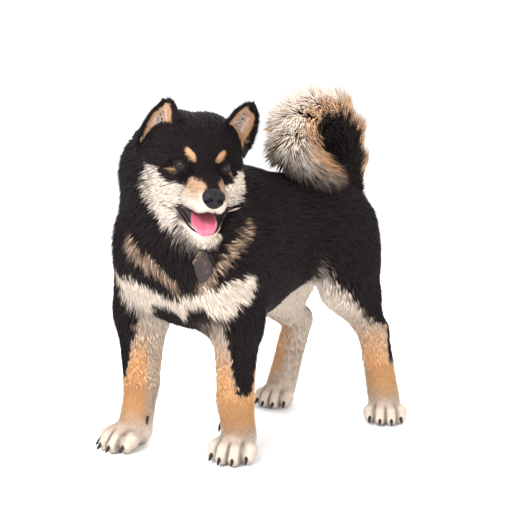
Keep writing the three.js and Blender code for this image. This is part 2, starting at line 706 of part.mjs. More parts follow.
// An ear: a cupped triangle with bulging edges and a rounded tip, its corners in the head's own axes
const EARS = {
  left: { inner: [-32, 27, 50], outer: [-62, 76, 14], tip: [-15, 67, 84] },
  right: { inner: [-28, -32, 50], outer: [-62, -81, 12], tip: [-17, -56, 79] },
};
function earShell(side, spare) {
  const ROWS = 7;
  const COLUMNS = 8;
  const { inner, outer, tip } = side > 0 ? EARS.left : EARS.right;
  const foot = mix(inner, outer, 0.5);
  const across = scale(add(outer, inner, -1), 0.5);
  const rise = add(tip, foot, -1);
  const front = scale(unit(cross(across, rise)), side);
  const skin = (row, column, behind) => {
    const t = -0.3 + (1.3 * row) / ROWS;
    const up = Math.max(0, t);
    const s = -1 + (2 * column) / COLUMNS;
    const half = Math.max(0.07, (1 - up ** 1.9) ** 0.6) + spare / 25;
    const cup = EAR_CUP * (1 - s * s) * (1 - 0.7 * up);
    const thick = (EAR_THICKNESS * (1 - 0.35 * up) * (1 - 0.5 * s * s) + 1.2) / 2 + spare;
    const middle = add(add(foot, across, s * half), rise, t);
    return headPoint(...add(middle, front, -cup + (behind ? -thick : thick)));
  };
  const rings = Array.from({ length: ROWS + 1 }, (_, row) => [
    ...Array.from({ length: COLUMNS + 1 }, (_, c) => skin(row, c, false)),
    ...Array.from({ length: COLUMNS + 1 }, (_, c) => skin(row, COLUMNS - c, true)),
  ]);
  return tubeOf(rings);
}
function earNodes() {
  const low = headPoint(0, 0, 0).map((v) => v - 150);
  const high = headPoint(0, 0, 0).map((v) => v + 150);
  const clear = meshField(grown(flesh, GAP), low, high, HEAD_CELL);
  for (const side of [1, -1]) {
    const hosts = [clear, nodes.get("head"), nodes.get("neck")];
    const made = hosts.reduce((left, host) => left.subtract(host), earShell(side, 0));
    nodes.set(side > 0 ? "ear_left" : "ear_right", largest(made));
  }
}

// The tail: a thick round brush along its line, parted behind and under the top of its curl
const tailField = joined(
  6,
  ...TAIL_LINE.slice(1).map((p, i) => cone(TAIL_LINE[i], p, TAIL_RADII[i], TAIL_RADII[i + 1])),
);
const TAIL_REAR = plane([0, 1, 0], [0, 150, 0]);
const TAIL_FOLD = plane(UP, [0, 0, 430]);
function tailNodes() {
  const low = [-75, -20, 290];
  const high = [115, 270, 540];
  const clear = meshField(grown(flesh, GAP), [-150, -262, 90], [150, 262, 520], BODY_CELL);
  const whole = meshField(tailField, low, high, TAIL_CELL).subtract(clear).subtract(nodes.get("torso"));
  const front = keepBefore(whole, TAIL_REAR);
  nodes.set("tail_root", largest(keepBeyond(whole, TAIL_REAR)));
  nodes.set("tail_curl", largest(keepBeyond(front, TAIL_FOLD)));
  nodes.set("tail_tip", largest(keepBefore(front, TAIL_FOLD)));
}

// A leather tag that hangs at the throat: rounded above, waisted, and flat against the fur
const TAG = { at: [111, -184, 283], high: 41, wide: 27, thick: 4.5 };
function tagNode() {
  const e = 1;
  const slope = [0, 1, 2].map((i) => {
    const step = (by) => TAG.at.map((v, j) => (i === j ? v + by : v));
    return flesh(...step(e)) - flesh(...step(-e));
  });
  const out = unit(slope);
  const side = unit(cross(UP, out));
  const rise = cross(out, side);
  const { high, wide, thick } = TAG;
  const outline = new THREE.Shape();
  outline.moveTo(-0.16 * wide, -0.5 * high);
  outline.bezierCurveTo(-0.3 * wide, -0.3 * high, -0.36 * wide, -0.1 * high, -0.5 * wide, 0.12 * high);
  outline.bezierCurveTo(-0.36 * wide, 0.22 * high, -0.3 * wide, 0.5 * high, 0, 0.5 * high);
  outline.bezierCurveTo(0.26 * wide, 0.5 * high, 0.24 * wide, 0.2 * high, 0.46 * wide, -0.02 * high);
  outline.bezierCurveTo(0.5 * wide, -0.2 * high, 0.3 * wide, -0.4 * high, 0.16 * wide, -0.5 * high);
  const settings = {
    depth: thick + 6,
    bevelEnabled: true,
    bevelThickness: 1.2,
    bevelSize: 1.2,
    bevelSegments: 1,
    curveSegments: 4,
  };
  const plate = new THREE.ExtrudeGeometry(outline, settings);
  const start = add(TAG.at, out, -7);
  const axes = [side, rise, out].map((v) => new THREE.Vector3(...v));
  const matrix = new THREE.Matrix4().makeBasis(...axes).setPosition(...start);
  const [near, far] = [-70, 70].map((reach) => TAG.at.map((v) => v + reach));
  const clear = meshField(grown(flesh, GAP), near, far, [9, 9, 9]);
  const hosts = ["neck", "torso", "head", "lower_jaw"].map((name) => nodes.get(name));
  const made = [clear, ...hosts].reduce((left, host) => left.subtract(host), solidOf(plate, matrix));
  nodes.set("tag", largest(made));
}

bodyNodes();
legNodes();
headNodes();
jawNodes();
noseNode();
earNodes();
clawNodes();
tailNodes();
tagNode();

// Materials, and the group of named meshes with its origin on the floor under the middle
const finish = (colour, roughness) =>
  new THREE.MeshStandardMaterial({ color: colour, roughness, metalness: 0 });
const BLACK_COAT = finish(0x241d1d, 0.85);
const TAN_COAT = finish(0xd9a878, 0.85);
const CREAM_COAT = finish(0xe9dccb, 0.85);
const HORN = finish(0x2a2426, 0.45);
const MATERIALS = [
  [/claw/, HORN],
  [/^tag/, finish(0x4a3a36, 0.6)],
  [/^eye/, finish(0x120d0b, 0.12)],
  [/^nose/, finish(0x1c191b, 0.4)],
  [/^tongue/, finish(0xd9708a, 0.4)],
  [/jaw|tail/, CREAM_COAT],
  [/paw|_lower/, TAN_COAT],
  [/./, BLACK_COAT],
];
const group = new THREE.Group();
for (const [name, solid] of nodes) {
  const mesh = solid.getMesh();
  const geometry = new THREE.BufferGeometry();
  geometry.setAttribute("position", new THREE.BufferAttribute(Float32Array.from(mesh.vertProperties), 3));
  geometry.setIndex(new THREE.BufferAttribute(Uint32Array.from(mesh.triVerts), 1));
  geometry.computeVertexNormals();
  const piece = new THREE.Mesh(geometry, MATERIALS.find(([names]) => names.test(name))[1]);
  piece.name = name;
  group.add(piece);
}
const box = new THREE.Box3().setFromObject(group);
const middle = box.getCenter(new THREE.Vector3());
group.position.set(-middle.x, -middle.y, -box.min.z);

export default group;
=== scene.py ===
"""A standing black and tan shiba inu: skin, coat, face, claws and the studio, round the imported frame.

Lengths in the shape formulas are millimetres in the dog's own axes: the floor is z = 0, the chest
points to -y and the dog's left is +x. Meshes are made in metres in the frame's axes.
"""

import math

import bmesh
import bpy
import numpy as np
from bpy.props import FloatProperty, FloatVectorProperty, IntProperty, PointerProperty
from mathutils import Matrix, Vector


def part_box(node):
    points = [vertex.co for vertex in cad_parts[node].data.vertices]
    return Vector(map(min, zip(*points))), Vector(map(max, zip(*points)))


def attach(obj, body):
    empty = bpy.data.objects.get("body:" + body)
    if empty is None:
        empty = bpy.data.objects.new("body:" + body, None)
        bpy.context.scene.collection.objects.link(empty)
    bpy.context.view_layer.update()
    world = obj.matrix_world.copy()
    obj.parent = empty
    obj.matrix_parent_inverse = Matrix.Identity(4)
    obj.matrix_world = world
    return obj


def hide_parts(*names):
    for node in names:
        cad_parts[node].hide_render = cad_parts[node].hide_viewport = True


bl_info = {
    "name": "Black and tan shiba inu",
    "version": (1, 0, 0),
    "blender": (4, 5, 0),
    "location": "View3D > Sidebar > Shiba",
    "description": "Builds the skin, coat, face and claws of a standing shiba inu round its frame",
    "category": "Add Mesh",
}

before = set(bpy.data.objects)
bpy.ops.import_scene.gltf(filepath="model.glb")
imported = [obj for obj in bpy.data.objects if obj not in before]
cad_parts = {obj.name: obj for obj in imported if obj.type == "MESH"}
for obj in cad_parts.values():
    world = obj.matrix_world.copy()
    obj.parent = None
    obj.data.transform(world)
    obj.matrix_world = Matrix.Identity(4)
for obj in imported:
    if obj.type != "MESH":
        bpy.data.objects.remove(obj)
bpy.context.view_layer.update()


# Vectors and the head's own axes
def vec(*values):
    return np.array(values, float)


def unit(v):
    """v divided by its length, along the last axis."""
    return v / np.maximum(np.linalg.norm(v, axis=-1, keepdims=True), 1e-9)


def heading(degrees):
    """The level direction that many degrees from -y towards +x."""
    return vec(math.sin(math.radians(degrees)), -math.cos(math.radians(degrees)), 0)


UP = vec(0, 0, 1)
EYE_MID = vec(88, -166, 410)
EYE_SPREAD, EYE_RISE = 26.5, -2.0
EYE = vec(0, EYE_SPREAD, EYE_RISE)
HEAD_YAW, HEAD_PITCH, HEAD_ROLL = 65.0, 8.0, 4.0


def head_axes():
    """Rows: forward along the muzzle, to the dog's left, and up through the crown."""
    pitch, roll = math.radians(HEAD_PITCH), math.radians(HEAD_ROLL)
    ahead, left = heading(HEAD_YAW), heading(HEAD_YAW + 90)
    forward = math.cos(pitch) * ahead - math.sin(pitch) * UP
    crown = math.sin(pitch) * ahead + math.cos(pitch) * UP
    return np.stack([forward, math.cos(roll) * left - math.sin(roll) * crown,
                     math.cos(roll) * crown + math.sin(roll) * left])


HEAD = head_axes()


def from_head(q):
    """Points from the head's own axes to the dog's."""
    return EYE_MID + q @ HEAD


def head_point(f, l, u):
    return from_head(vec(f, l, u))


def in_head(p):
    """Points in the head's own axes."""
    return (p - EYE_MID) @ HEAD.T


def eye_distance(q):
    """Distance from the left eye's middle, in the head's own axes."""
    return np.linalg.norm(q - EYE, axis=-1)


def frame_offset():
    """What is added to the dog's millimetres to reach the frame's, read from the left eye's node."""
    low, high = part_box("eye_left")
    return (np.array(low) + np.array(high)) * 500 - head_point(0, EYE_SPREAD, EYE_RISE)


OFFSET = frame_offset()


# Smooth blends, noise and the elements of the flesh
def soft_min(a, b, k):
    """The lower of a and b, rounded over a width k: min - h*h*k/4 with h = (k - |a-b|) / k."""
    h = np.maximum(k - np.abs(a - b), 0) / k
    return np.minimum(a, b) - h * h * k * 0.25


def soft_max(a, b, k):
    return -soft_min(-a, -b, k)


def ramp(x, low, high):
    """0 below low, 1 above high, and t*t*(3-2t) between."""
    t = np.clip((x - low) / (high - low), 0, 1)
    return t * t * (3 - 2 * t)


def ripple(p, size, seed=0.0):
    """Smooth noise between about -1 and 1: three turned sines of wavelength size, each bent by another."""
    x, y, z = (p[..., i] * (2 * math.pi / size) + seed * (1.7 + i) for i in range(3))
    return (np.sin(x + 1.3 * np.sin(0.7 * y + 0.6 * z)) + np.sin(y + 1.1 * np.sin(0.8 * z - 0.5 * x))
            + np.sin(z + 1.2 * np.sin(0.9 * x + 0.4 * y))) / 2.2


def cone(p, a, b, ra, rb):
    """Distance to a round cone: to the nearest point of the line a-b, less a radius from ra to rb."""
    a, b = np.asarray(a, float), np.asarray(b, float)
    ab = b - a
    t = np.clip(((p - a) @ ab) / (ab @ ab), 0, 1)
    return np.linalg.norm(p - a - t[..., None] * ab, axis=-1) - (ra + (rb - ra) * t)


def ellipsoid(p, centre, radii):
    """Nearly the distance to an ellipsoid: k0 (k0 - 1) / k1, with k0 = |q/r| and k1 = |q/r^2|."""
    q, r = p - np.asarray(centre, float), np.asarray(radii, float)
    k0 = np.linalg.norm(q / r, axis=-1)
    k1 = np.linalg.norm(q / (r * r), axis=-1)
    return np.where(k1 > 1e-9, k0 * (k0 - 1) / np.maximum(k1, 1e-9), -r.min())


def smooth_rows(rows, at):
    """A curve through rows of numbers that never overshoots them (Fritsch-Carlson cubic), at those places."""
    rows = np.asarray(rows, float)
    x, y = rows[:, 0], rows[:, 1:]
    h, d = np.diff(x)[:, None], np.diff(y, axis=0) / np.diff(x)[:, None]
    m = np.zeros_like(y)
    w0, w1 = 2 * h[1:] + h[:-1], 2 * h[:-1] + h[1:]
    same = d[:-1] * d[1:] > 0
    safe0, safe1 = np.where(same, d[:-1], 1), np.where(same, d[1:], 1)
    m[1:-1] = np.where(same, (w0 + w1) / (w0 / safe0 + w1 / safe1), 0)
    m[0], m[-1] = d[0], d[-1]
    q = np.clip(at, x[0], x[-1])
    i = np.clip(np.searchsorted(x, q) - 1, 0, len(x) - 2)
    t = ((q - x[i]) / h[i, 0])[..., None]
    return ((2 * t**3 - 3 * t**2 + 1) * y[i] + (t**3 - 2 * t**2 + t) * h[i] * m[i]
            + (3 * t**2 - 2 * t**3) * y[i + 1] + (t**3 - t**2) * h[i] * m[i + 1])


def loft(p, rings, flare, squareness):
    """A body lofted along y through rings of top, bottom and half width, with rounded ends."""
    first, last = rings[0][0], rings[-1][0]
    cols = smooth_rows(rings, p[..., 1])
    top, bottom, half = cols[..., 0], cols[..., 1], cols[..., 2]
    high = (top - bottom) / 2
    v = (p[..., 2] - (top + bottom) / 2) / high
    u = np.abs(p[..., 0]) / (half * (1 + flare * v))
    front = np.maximum((first + 60 - p[..., 1]) / 60, 0)
    rear = np.maximum((p[..., 1] - last + 55) / 55, 0)
    ring = (u**squareness + np.abs(v)**squareness) ** (2 / squareness)
    return (np.sqrt(ring + front**2 + rear**2) - 1) * np.minimum(half, high)


# The dog's measures: the same as the frame's
CHEST_TURN, CHEST_PIVOT_Y = 10.0, -30.0
CHEST_RINGS = [(-200, 340, 238, 88), (-165, 362, 208, 100), (-110, 384, 180, 104),
               (-50, 392, 178, 102), (0, 390, 188, 94), (50, 382, 205, 80)]
TRUNK_RINGS = [(-110, 380, 195, 88), (-50, 392, 186, 94), (0, 393, 196, 93), (70, 388, 220, 87),
               (120, 384, 238, 82), (150, 376, 250, 74), (190, 346, 272, 54)]
FORELEGS = {
    "left": dict(shoulder=vec(76, -112, 262), elbow=vec(81, -105, 190), wrist=vec(75, -103, 80),
                 paw=vec(78, -104, 0), toes=32, side=1, size=1.14, stout=33),
    "right": dict(shoulder=vec(-77, -148, 258), elbow=vec(-85, -150, 190), wrist=vec(-76, -159, 80),
                  paw=vec(-60, -193, 0), toes=8, side=-1, size=1.14, stout=39),
}
HINDLEGS = {
    "left": dict(hip=vec(42, 119, 301), knee=vec(72, 117, 222), hock=vec(74, 176, 140),
                 paw=vec(94, 183, 0), toes=45, side=1, size=1.08),
    "right": dict(hip=vec(-42, 117, 301), knee=vec(-71, 71, 202), hock=vec(-77, 154, 138),
                  paw=vec(-80, 112, 0), toes=25, side=-1, size=1.08),
}
TOES = [(-17, -22, 21, 9.3), (-6.3, -8, 31, 10), (6.3, 8, 31, 10), (17, 22, 21, 9.3)]
TAIL_LINE = np.array([(0, 180, 345), (-3, 191, 395), (-4, 184, 438), (0, 155, 468), (6, 112, 475),
                      (16, 72, 462), (31, 49, 437), (44, 54, 410), (56, 76, 391), (63, 101, 380)], float)
TAIL_RADII = np.array([28, 33, 39, 42, 43, 44, 44, 40, 31, 16], float)
TAIL_BONE = np.array([24, 21, 19, 18, 17, 17, 17, 14, 9], float)  # ends one place before the coat does
TAIL_MIDDLE = vec(16, 120, 420)


def trunk_field(p):
    turn = math.radians(CHEST_TURN)
    c, s = math.cos(turn), math.sin(turn)
    q = np.stack([c * p[..., 0] + s * (p[..., 1] - CHEST_PIVOT_Y),
                  c * (p[..., 1] - CHEST_PIVOT_Y) - s * p[..., 0], p[..., 2]], -1)
    return soft_min(loft(p, TRUNK_RINGS, 0.06, 2.3), loft(q, CHEST_RINGS, 0.05, 2.2), 40)


def neck_field(p):
    return soft_min(cone(p, (-10, -108, 315), head_point(-84, -19, -31), 92, 78),
                    cone(p, (0, -150, 290), head_point(-50, 0, -60), 66, 44), 30)


def mirrored(q):
    """The head's axes with both sides alike, about a middle that bends back with the neck."""
    out = q.copy()
    out[..., 1] = np.abs(q[..., 1] + 7 * ramp(q[..., 0], -10, -55))
    return out


def skull_field(q):
    """The head in its own axes, alike on both sides: skull, brow, cheeks, muzzle, lips and eye hollows."""
    d = soft_min(ellipsoid(q, (-60, 0, 0), (66, 64, 60)), ellipsoid(q, (-58, 28, 16), (48, 36, 44)), 22)
    d = soft_min(d, ellipsoid(q, (-20, 0, 14), (40, 46, 25)), 22)
    d = soft_min(d, ellipsoid(q, (-44, 34, -34), (44, 36, 42)), 22)
    d = soft_min(d, cone(q, (0, 0, -22), (62, 0, -27.5), 30, 18.5), 16)
    d = soft_min(d, cone(q, (26, 17, -38), (60, 9, -40), 15.5, 12.5), 8)
    return soft_max(d, -ellipsoid(q, (11, EYE_SPREAD + 1, EYE_RISE), (14, 9, 8)), 12)


def jaw_field(q):
    return soft_min(cone(q, (-24, 0, -68), (47, 0, -84), 26, 13.5),
                    cone(q, (-20, 22, -62), (44, 10.5, -80), 17, 9.5), 8)


def ruff_field(q):
    return ellipsoid(q, (-34, 14, -74), (46, 46, 44))


def paw_axes(leg):
    f = heading(leg["toes"])
    return f, vec(-f[1], f[0], 0)


def paw_place(leg, ahead, side, up):
    f, l = paw_axes(leg)
    return leg["paw"] + leg["size"] * (ahead * f + side * l + up * UP)


def paw_field(p, leg):
    """A paw: a short pad body and four toes, each two round cones, the middle pair longer."""
    s = leg["size"]
    toes = None
    for root, tip, reach, r in TOES:
        knuckle = paw_place(leg, reach - 8, tip, 16)
        toe = soft_min(cone(p, paw_place(leg, 2, root, 19), knuckle, r * s, r * 1.08 * s),
                       cone(p, knuckle, paw_place(leg, reach, tip, 10), r * 1.08 * s, r * 0.95 * s), 3)
        toes = toe if toes is None else soft_min(toes, toe, 2.5)
    return soft_min(cone(p, paw_place(leg, -16, 0, 15), paw_place(leg, 8, 0, 19), 17 * s, 17 * s), toes, 7)


def paw_back(leg):
    return leg["paw"] + vec(0, 0, 26) - 13 * heading(leg["toes"])


def foreleg_field(p, leg):
    stout = leg["stout"]
    d = soft_min(cone(p, leg["shoulder"], leg["elbow"], 46, stout + 1),
                 ellipsoid(p, leg["elbow"] + vec(0, 8, 30), (30, stout, 48)), 20)
    d = soft_min(d, cone(p, leg["elbow"], leg["wrist"], stout - 1, 25), 16)
    return soft_min(d, cone(p, leg["wrist"], paw_back(leg), 25, 26), 10)


def hindleg_field(p, leg):
    hip, knee, hock = leg["hip"], leg["knee"], leg["hock"]
    thigh = soft_min(cone(p, hip, knee, 66, 38),
                     ellipsoid(p, (hip + knee) / 2 + vec(0, 20, -8), (42, 56, 78)), 25)
    calf = soft_min(cone(p, knee, hock, 35, 24),
                    cone(p, knee + vec(0, 16, 0), 0.62 * knee + 0.38 * hock + vec(0, 10, 6), 32, 28), 14)
    point = cone(p, hock + vec(0, 10, 6), hock, 12, 18)
    return soft_min(soft_min(thigh, calf, 20), soft_min(point, cone(p, hock, paw_back(leg), 23, 26), 8), 9)


def tail_field(p, radii):
    d = None
    for i in range(len(radii) - 1):
        c = cone(p, TAIL_LINE[i], TAIL_LINE[i + 1], radii[i], radii[i + 1])
        d = c if d is None else soft_min(d, c, 6)
    return d


PARTS = ["trunk", "neck", "head", "front_left", "front_right", "hind_left", "hind_right"]
LEGS = {"front_left": FORELEGS["left"], "front_right": FORELEGS["right"],
        "hind_left": HINDLEGS["left"], "hind_right": HINDLEGS["right"]}


def part_fields(p):
    """The distance to each part of the body, without the tail and ears, as columns in the order of PARTS."""
    q = mirrored(in_head(p))
    head = soft_min(soft_min(skull_field(q), ruff_field(q), 24), jaw_field(q), 10)
    legs = []
    for name, leg in LEGS.items():
        limb = foreleg_field(p, leg) if name.startswith("front") else hindleg_field(p, leg)
        legs.append(soft_min(limb, paw_field(p, leg), 6))
    return np.stack([trunk_field(p), neck_field(p), head, *legs], -1)


def joined_fields(d):
    """The outside of the coat, from the columns of part_fields."""
    body = d[..., 0]
    for i in (3, 4, 5, 6):
        body = soft_min(body, d[..., i], 26)
    body = soft_min(body, d[..., 1], 40)
    return soft_min(body, d[..., 2], 22)


def part_shares(d, width=14.0):
    """How much each part owns a point: exp of minus the distance over a width, made to sum to 1."""
    w = np.exp(-(d - d.min(-1, keepdims=True)) / width)
    return w / w.sum(-1, keepdims=True)


def coat_length(p, d):
    """The length of the coat's hair at a point, in mm: long on the neck and rump, short on face and feet."""
    share = part_shares(d)
    q = mirrored(in_head(p))
    f, a, u = q[..., 0], q[..., 1], q[..., 2]
    face = (3.2 + 5 * ramp(f, 25, -25) + 15 * ramp(f + 0.35 * u, -18, -62)
            + 9 * ramp(u, -66, -96) * ramp(f, 40, 5))
    face = face * (0.6 + 0.4 * ramp(eye_distance(q), 11, 22))
    back = p[..., 1]
    trunk = 25 + 6 * ramp(back, -60, -160) + 7 * ramp(back, 150, 215)
    legs = 6.0 + 7 * ramp(p[..., 2], 45, 130) + 12 * ramp(p[..., 2], 130, 235)
    thigh = 6.0 + 7 * ramp(p[..., 2], 50, 130) + 15 * ramp(p[..., 2], 150, 235)
    paw = ramp(p[..., 2], 58, 34)
    legs, thigh = legs * (1 - paw) + 4.2 * paw, thigh * (1 - paw) + 4.2 * paw
    return (share[..., 0] * trunk + share[..., 1] * 33 + share[..., 2] * face
            + (share[..., 3] + share[..., 4]) * legs + (share[..., 5] + share[..., 6]) * thigh)


def coat_depth(length):
    """How far the coat's outside stands over the skin: the tips of hair lying at a low angle."""
    return 0.5 + 0.34 * length


def lid_cut(q):
    """The almond between an eye's lids, less than 0 inside, in the head's own axes on the left side."""
    out, across, up = eye_axes(1)
    r = q - EYE
    a, b, c = r @ out, r @ across, r @ up
    t = np.clip(b / 8.3, -1, 1)
    lid_up, lid_down = 4.1 * (1 - t * t) + 0.4, -3.4 * (1 - t * t) - 0.4
    inside = np.maximum(np.maximum(c - lid_up, lid_down - c), np.abs(b) - 8.7)
    return np.maximum(inside, 5.5 - a)


def eye_axes(side):
    """An eye's outward, across and up directions in the head's own axes: across rises to the outer corner."""
    out = unit(vec(0.84, side * 0.53, 0.07))
    across = vec(-0.5, side * 0.84, 0.3)
    across = unit(across - out * (across @ out))
    return out, across, np.cross(out, across) * side


def skin_field(p):
    """The skin: the coat's outside drawn in by the coat's depth, the tail's bone, and the lids."""
    d = part_fields(p)
    body = joined_fields(d) + coat_depth(coat_length(p, d))
    body = soft_min(body, tail_field(p, TAIL_BONE), 14)
    q = mirrored(in_head(p))
    eye = eye_distance(q)
    near = eye < 40
    if near.any():
        lids = soft_min(body[near], eye[near] - 11.3, 6)
        body[near] = soft_max(lids, -lid_cut(q[near]), 0.8)
    return np.maximum(body, 0.6 - p[..., 2])


def slope_of(field, p, e=0.6):
    """The field's gradient by differences over 2e along each axis."""
    return np.stack([(field(p + e * axis) - field(p - e * axis)) / (2 * e) for axis in np.eye(3)], -1)


# Surface nets: a mesh of where a field is 0, on a grid with its own spacing along each axis
def spaced(*stops):
    """Grid lines from (place, spacing) stops: each spacing runs up to the next stop's place."""
    out = []
    for (a, step), (b, _) in zip(stops[:-1], stops[1:]):
        out.append(np.linspace(a, b, max(2, round((b - a) / step) + 1))[:-1])
    return np.concatenate([*out, [stops[-1][0]]])


def along_axis(values, axis):
    """A row of numbers shaped to run along one axis of a lattice."""
    shape = [1, 1, 1]
    shape[axis] = len(values)
    return values.reshape(shape)


def neighbours(values, axis, others=slice(None)):
    """A lattice's values and the next ones along an axis, over a slice of its other axes."""
    low, high = [others] * 3, [others] * 3
    low[axis], high[axis] = slice(0, -1), slice(1, None)
    return values[tuple(low)], values[tuple(high)]


def on_lattice(field, x, y, z, coarse=5):
    """The field on a lattice: exact near the surface, and from every fifth line elsewhere."""
    sub = [np.unique(np.append(np.arange(0, len(a), coarse), len(a) - 1)) for a in (x, y, z)]
    rough = np.stack(np.meshgrid(x[sub[0]], y[sub[1]], z[sub[2]], indexing="ij"), -1)
    value = in_blocks(field, rough.reshape(-1, 3)).reshape(rough.shape[:3])
    reach = max(np.diff(a[s]).max() for a, s in zip((x, y, z), sub)) * 1.5 + 4
    full = value
    for axis, (a, s) in enumerate(zip((x, y, z), sub)):
        i = np.clip(np.searchsorted(a[s], a, side="right") - 1, 0, len(s) - 2)
        t = along_axis((a - a[s][i]) / (a[s][i + 1] - a[s][i]), axis)
        full = np.take(full, i, axis) * (1 - t) + np.take(full, i + 1, axis) * t
    near = np.argwhere(np.abs(full) < reach)
    points = np.stack([x[near[:, 0]], y[near[:, 1]], z[near[:, 2]]], -1)
    full[tuple(near.T)] = in_blocks(field, points)
    return full


def in_blocks(field, p, size=200000):
    return np.concatenate([field(p[i:i + size]) for i in range(0, len(p), size)])


def stepped(field, p, level, most):
    """Points moved once along the field's gradient g towards a level: g (level - field) / g*g, up to most."""
    g = in_blocks(lambda q: slope_of(field, q), p)
    move = (level - in_blocks(field, p)) / np.maximum((g * g).sum(-1), 0.3)
    return p + g * np.clip(move, -most, most)[:, None]


def surface_net(field, x, y, z, settle=2):
    """Vertices and quads of the surface: one vertex in each cell that it crosses, moved on to it."""
    value = on_lattice(field, x, y, z)
    for face in ((0,), (-1,), (slice(None), 0), (slice(None), -1), (Ellipsis, 0), (Ellipsis, -1)):
        value[face] = 1
    inside = value < 0
    n = np.array(value.shape)
    places, count = np.zeros((*(n - 1), 3)), np.zeros(n - 1)
    grids = (x, y, z)
    for axis in range(3):
        a, b = neighbours(value, axis)
        crossed = (a < 0) != (b < 0)
        t = np.where(crossed, a / np.where(crossed, a - b, 1), 0)
        start, step = along_axis(grids[axis][:-1], axis), along_axis(np.diff(grids[axis]), axis)
        along = np.where(crossed, start + t * step, 0)
        others = [i for i in range(3) if i != axis]
        for corner in ((0, 0), (0, 1), (1, 0), (1, 1)):
            pick = [slice(None)] * 3
            for k, shift in zip(others, corner):
                pick[k] = slice(shift, n[k] - 1 + shift)
            hit = crossed[tuple(pick)]
            places[..., axis] += along[tuple(pick)]
            for k in others:
                places[..., k] += hit * along_axis(grids[k][pick[k]], k)
            count += hit
    used = count > 0
    index = np.full(used.shape, -1)
    index[used] = np.arange(used.sum())
    points = places[used] / count[used][:, None]
    quads = []
    for axis in range(3):
        others = [(axis + 1) % 3, (axis + 2) % 3]
        a, b = neighbours(inside, axis, slice(1, -1))
        for turned, cells in ((False, a & ~b), (True, ~a & b)):
            at = np.argwhere(cells)
            at[:, others] += 1
            corners = []
            for back in ((1, 1), (0, 1), (0, 0), (1, 0)):
                j = at.copy()
                j[:, others] -= back
                corners.append(index[tuple(j.T)])
            quads.append(np.stack(corners[::-1] if turned else corners, 1))
    for _ in range(settle):
        points = stepped(field, points, 0, 1.5)
    return points, np.concatenate(quads)


# Markings by formula: tan and cream shares of the coat's colour, black where both are 0
def chest_angle(p):
    """Degrees round the chest's upright line, from -y towards +x."""
    return np.degrees(np.arctan2(p[..., 0], -(p[..., 1] + 110)))


def leg_angle(p, leg):
    """Degrees round a foreleg's own line, from -y towards +x."""
    t = np.clip((leg["elbow"][2] - p[..., 2]) / (leg["elbow"][2] - leg["wrist"][2]), -0.5, 1.2)[..., None]
    middle = leg["elbow"] * (1 - t) + leg["wrist"] * t
    return np.degrees(np.arctan2(p[..., 0] - middle[..., 0], -(p[..., 1] - middle[..., 1])))


def turn_between(a, b):
    return np.abs((a - b + 180) % 360 - 180)


# Edges of the markings, as rows of (place along the edge, where the edge is)
CHEEK_RIGHT = [(-120, 47), (-111, 36), (-106, 25), (-88, 8), (-70, -9), (-48, -26), (-36, -29), (-23, -28),
               (-8, -26)]
CHEEK_LEFT = [(-120, 70), (-100, 60), (-80, 48), (-66, 19), (-49, -1), (-29, -18), (-15, -19), (-5, -18)]
CHEEK_TOP = [(0, -26), (12, -27), (24, -25), (30, -25), (43, -24), (50, -20), (55, -8), (80, -7)]


def edge_at(x, rows):
    return np.interp(x, *np.transpose(rows))


def head_marks(p):
    """Cream cheeks, lips and throat, tan muzzle sides, brow spots and a pale fleck at the eyes' corners."""
    side = in_head(p)
    q = mirrored(side)
    f, a, u = q[..., 0], q[..., 1], q[..., 2]
    rough = 2.6 * ripple(p, 9, 3) + 1.8 * ripple(p, 4.5, 8)
    turn = ramp(side[..., 1], 8, 30)
    rear = edge_at(u + 0.6 * rough, CHEEK_RIGHT) * (1 - turn) + edge_at(u + 0.6 * rough, CHEEK_LEFT) * turn
    top = edge_at(a + 7 * turn * ramp(a, 28, 40), CHEEK_TOP) + 5 * ramp(f, 52, 68)
    cream = (ramp(top + 0.6 * rough - u, -2.5, 3) * ramp(f + 1.1 * rough - rear, -3, 4)
             * ramp(u + rough, -123, -114))
    tan = ramp(a, 6, 12) * ramp(u + 0.4 * rough, -9, -14) * ramp(u + 0.5 * rough, -37, -30) * ramp(f, 20, 32)
    tan = tan * ramp(f, 76, 66) * (0.74 + 0.3 * ripple(p, 4.2, 4))
    brow = ramp(((a - 20 - 0.45 * (u - 14)) / 5.6) ** 2 + ((u - 14) / 8.5) ** 2 + 0.06 * rough, 1.2, 0.6)
    brow = brow * ramp(f, -26, -6)
    corner = ((a - 38) / 8.5) ** 2 + ((u + 8.5 + 1.3 * turn * (a - 37)) / 4.2) ** 2 + 0.08 * rough
    corner = 0.28 * ramp(corner, 1.2, 0.6) * ramp(f, -25, -5)
    lips = 0.24 * ramp(tan, 0.1, 0.5)
    return (np.maximum(np.maximum(tan, 0.85 * brow), corner),
            np.maximum(np.maximum(cream * (1 - 0.6 * tan), lips), np.maximum(0.14 * brow, 0.2 * corner)))


BAND_TOP = [(-50, 262), (3, 259), (18, 250), (37, 236), (52, 248), (67, 257), (86, 268), (96, 262)]
BAND_LOW = [(-46, 223), (-42, 206), (-36, 198), (2, 213), (11, 226), (24, 226), (32, 217), (37, 201),
            (46, 225), (57, 228), (61, 216), (70, 210), (77, 217), (88, 236), (96, 260)]
STRIPE_RIGHT = [(-4, 320), (6, 304), (16, 289), (27, 277), (37, 258), (43, 240)]
STRIPE_LEFT = [(48, 250), (54, 260), (60, 268), (68, 288), (78, 307), (89, 326), (97, 338)]


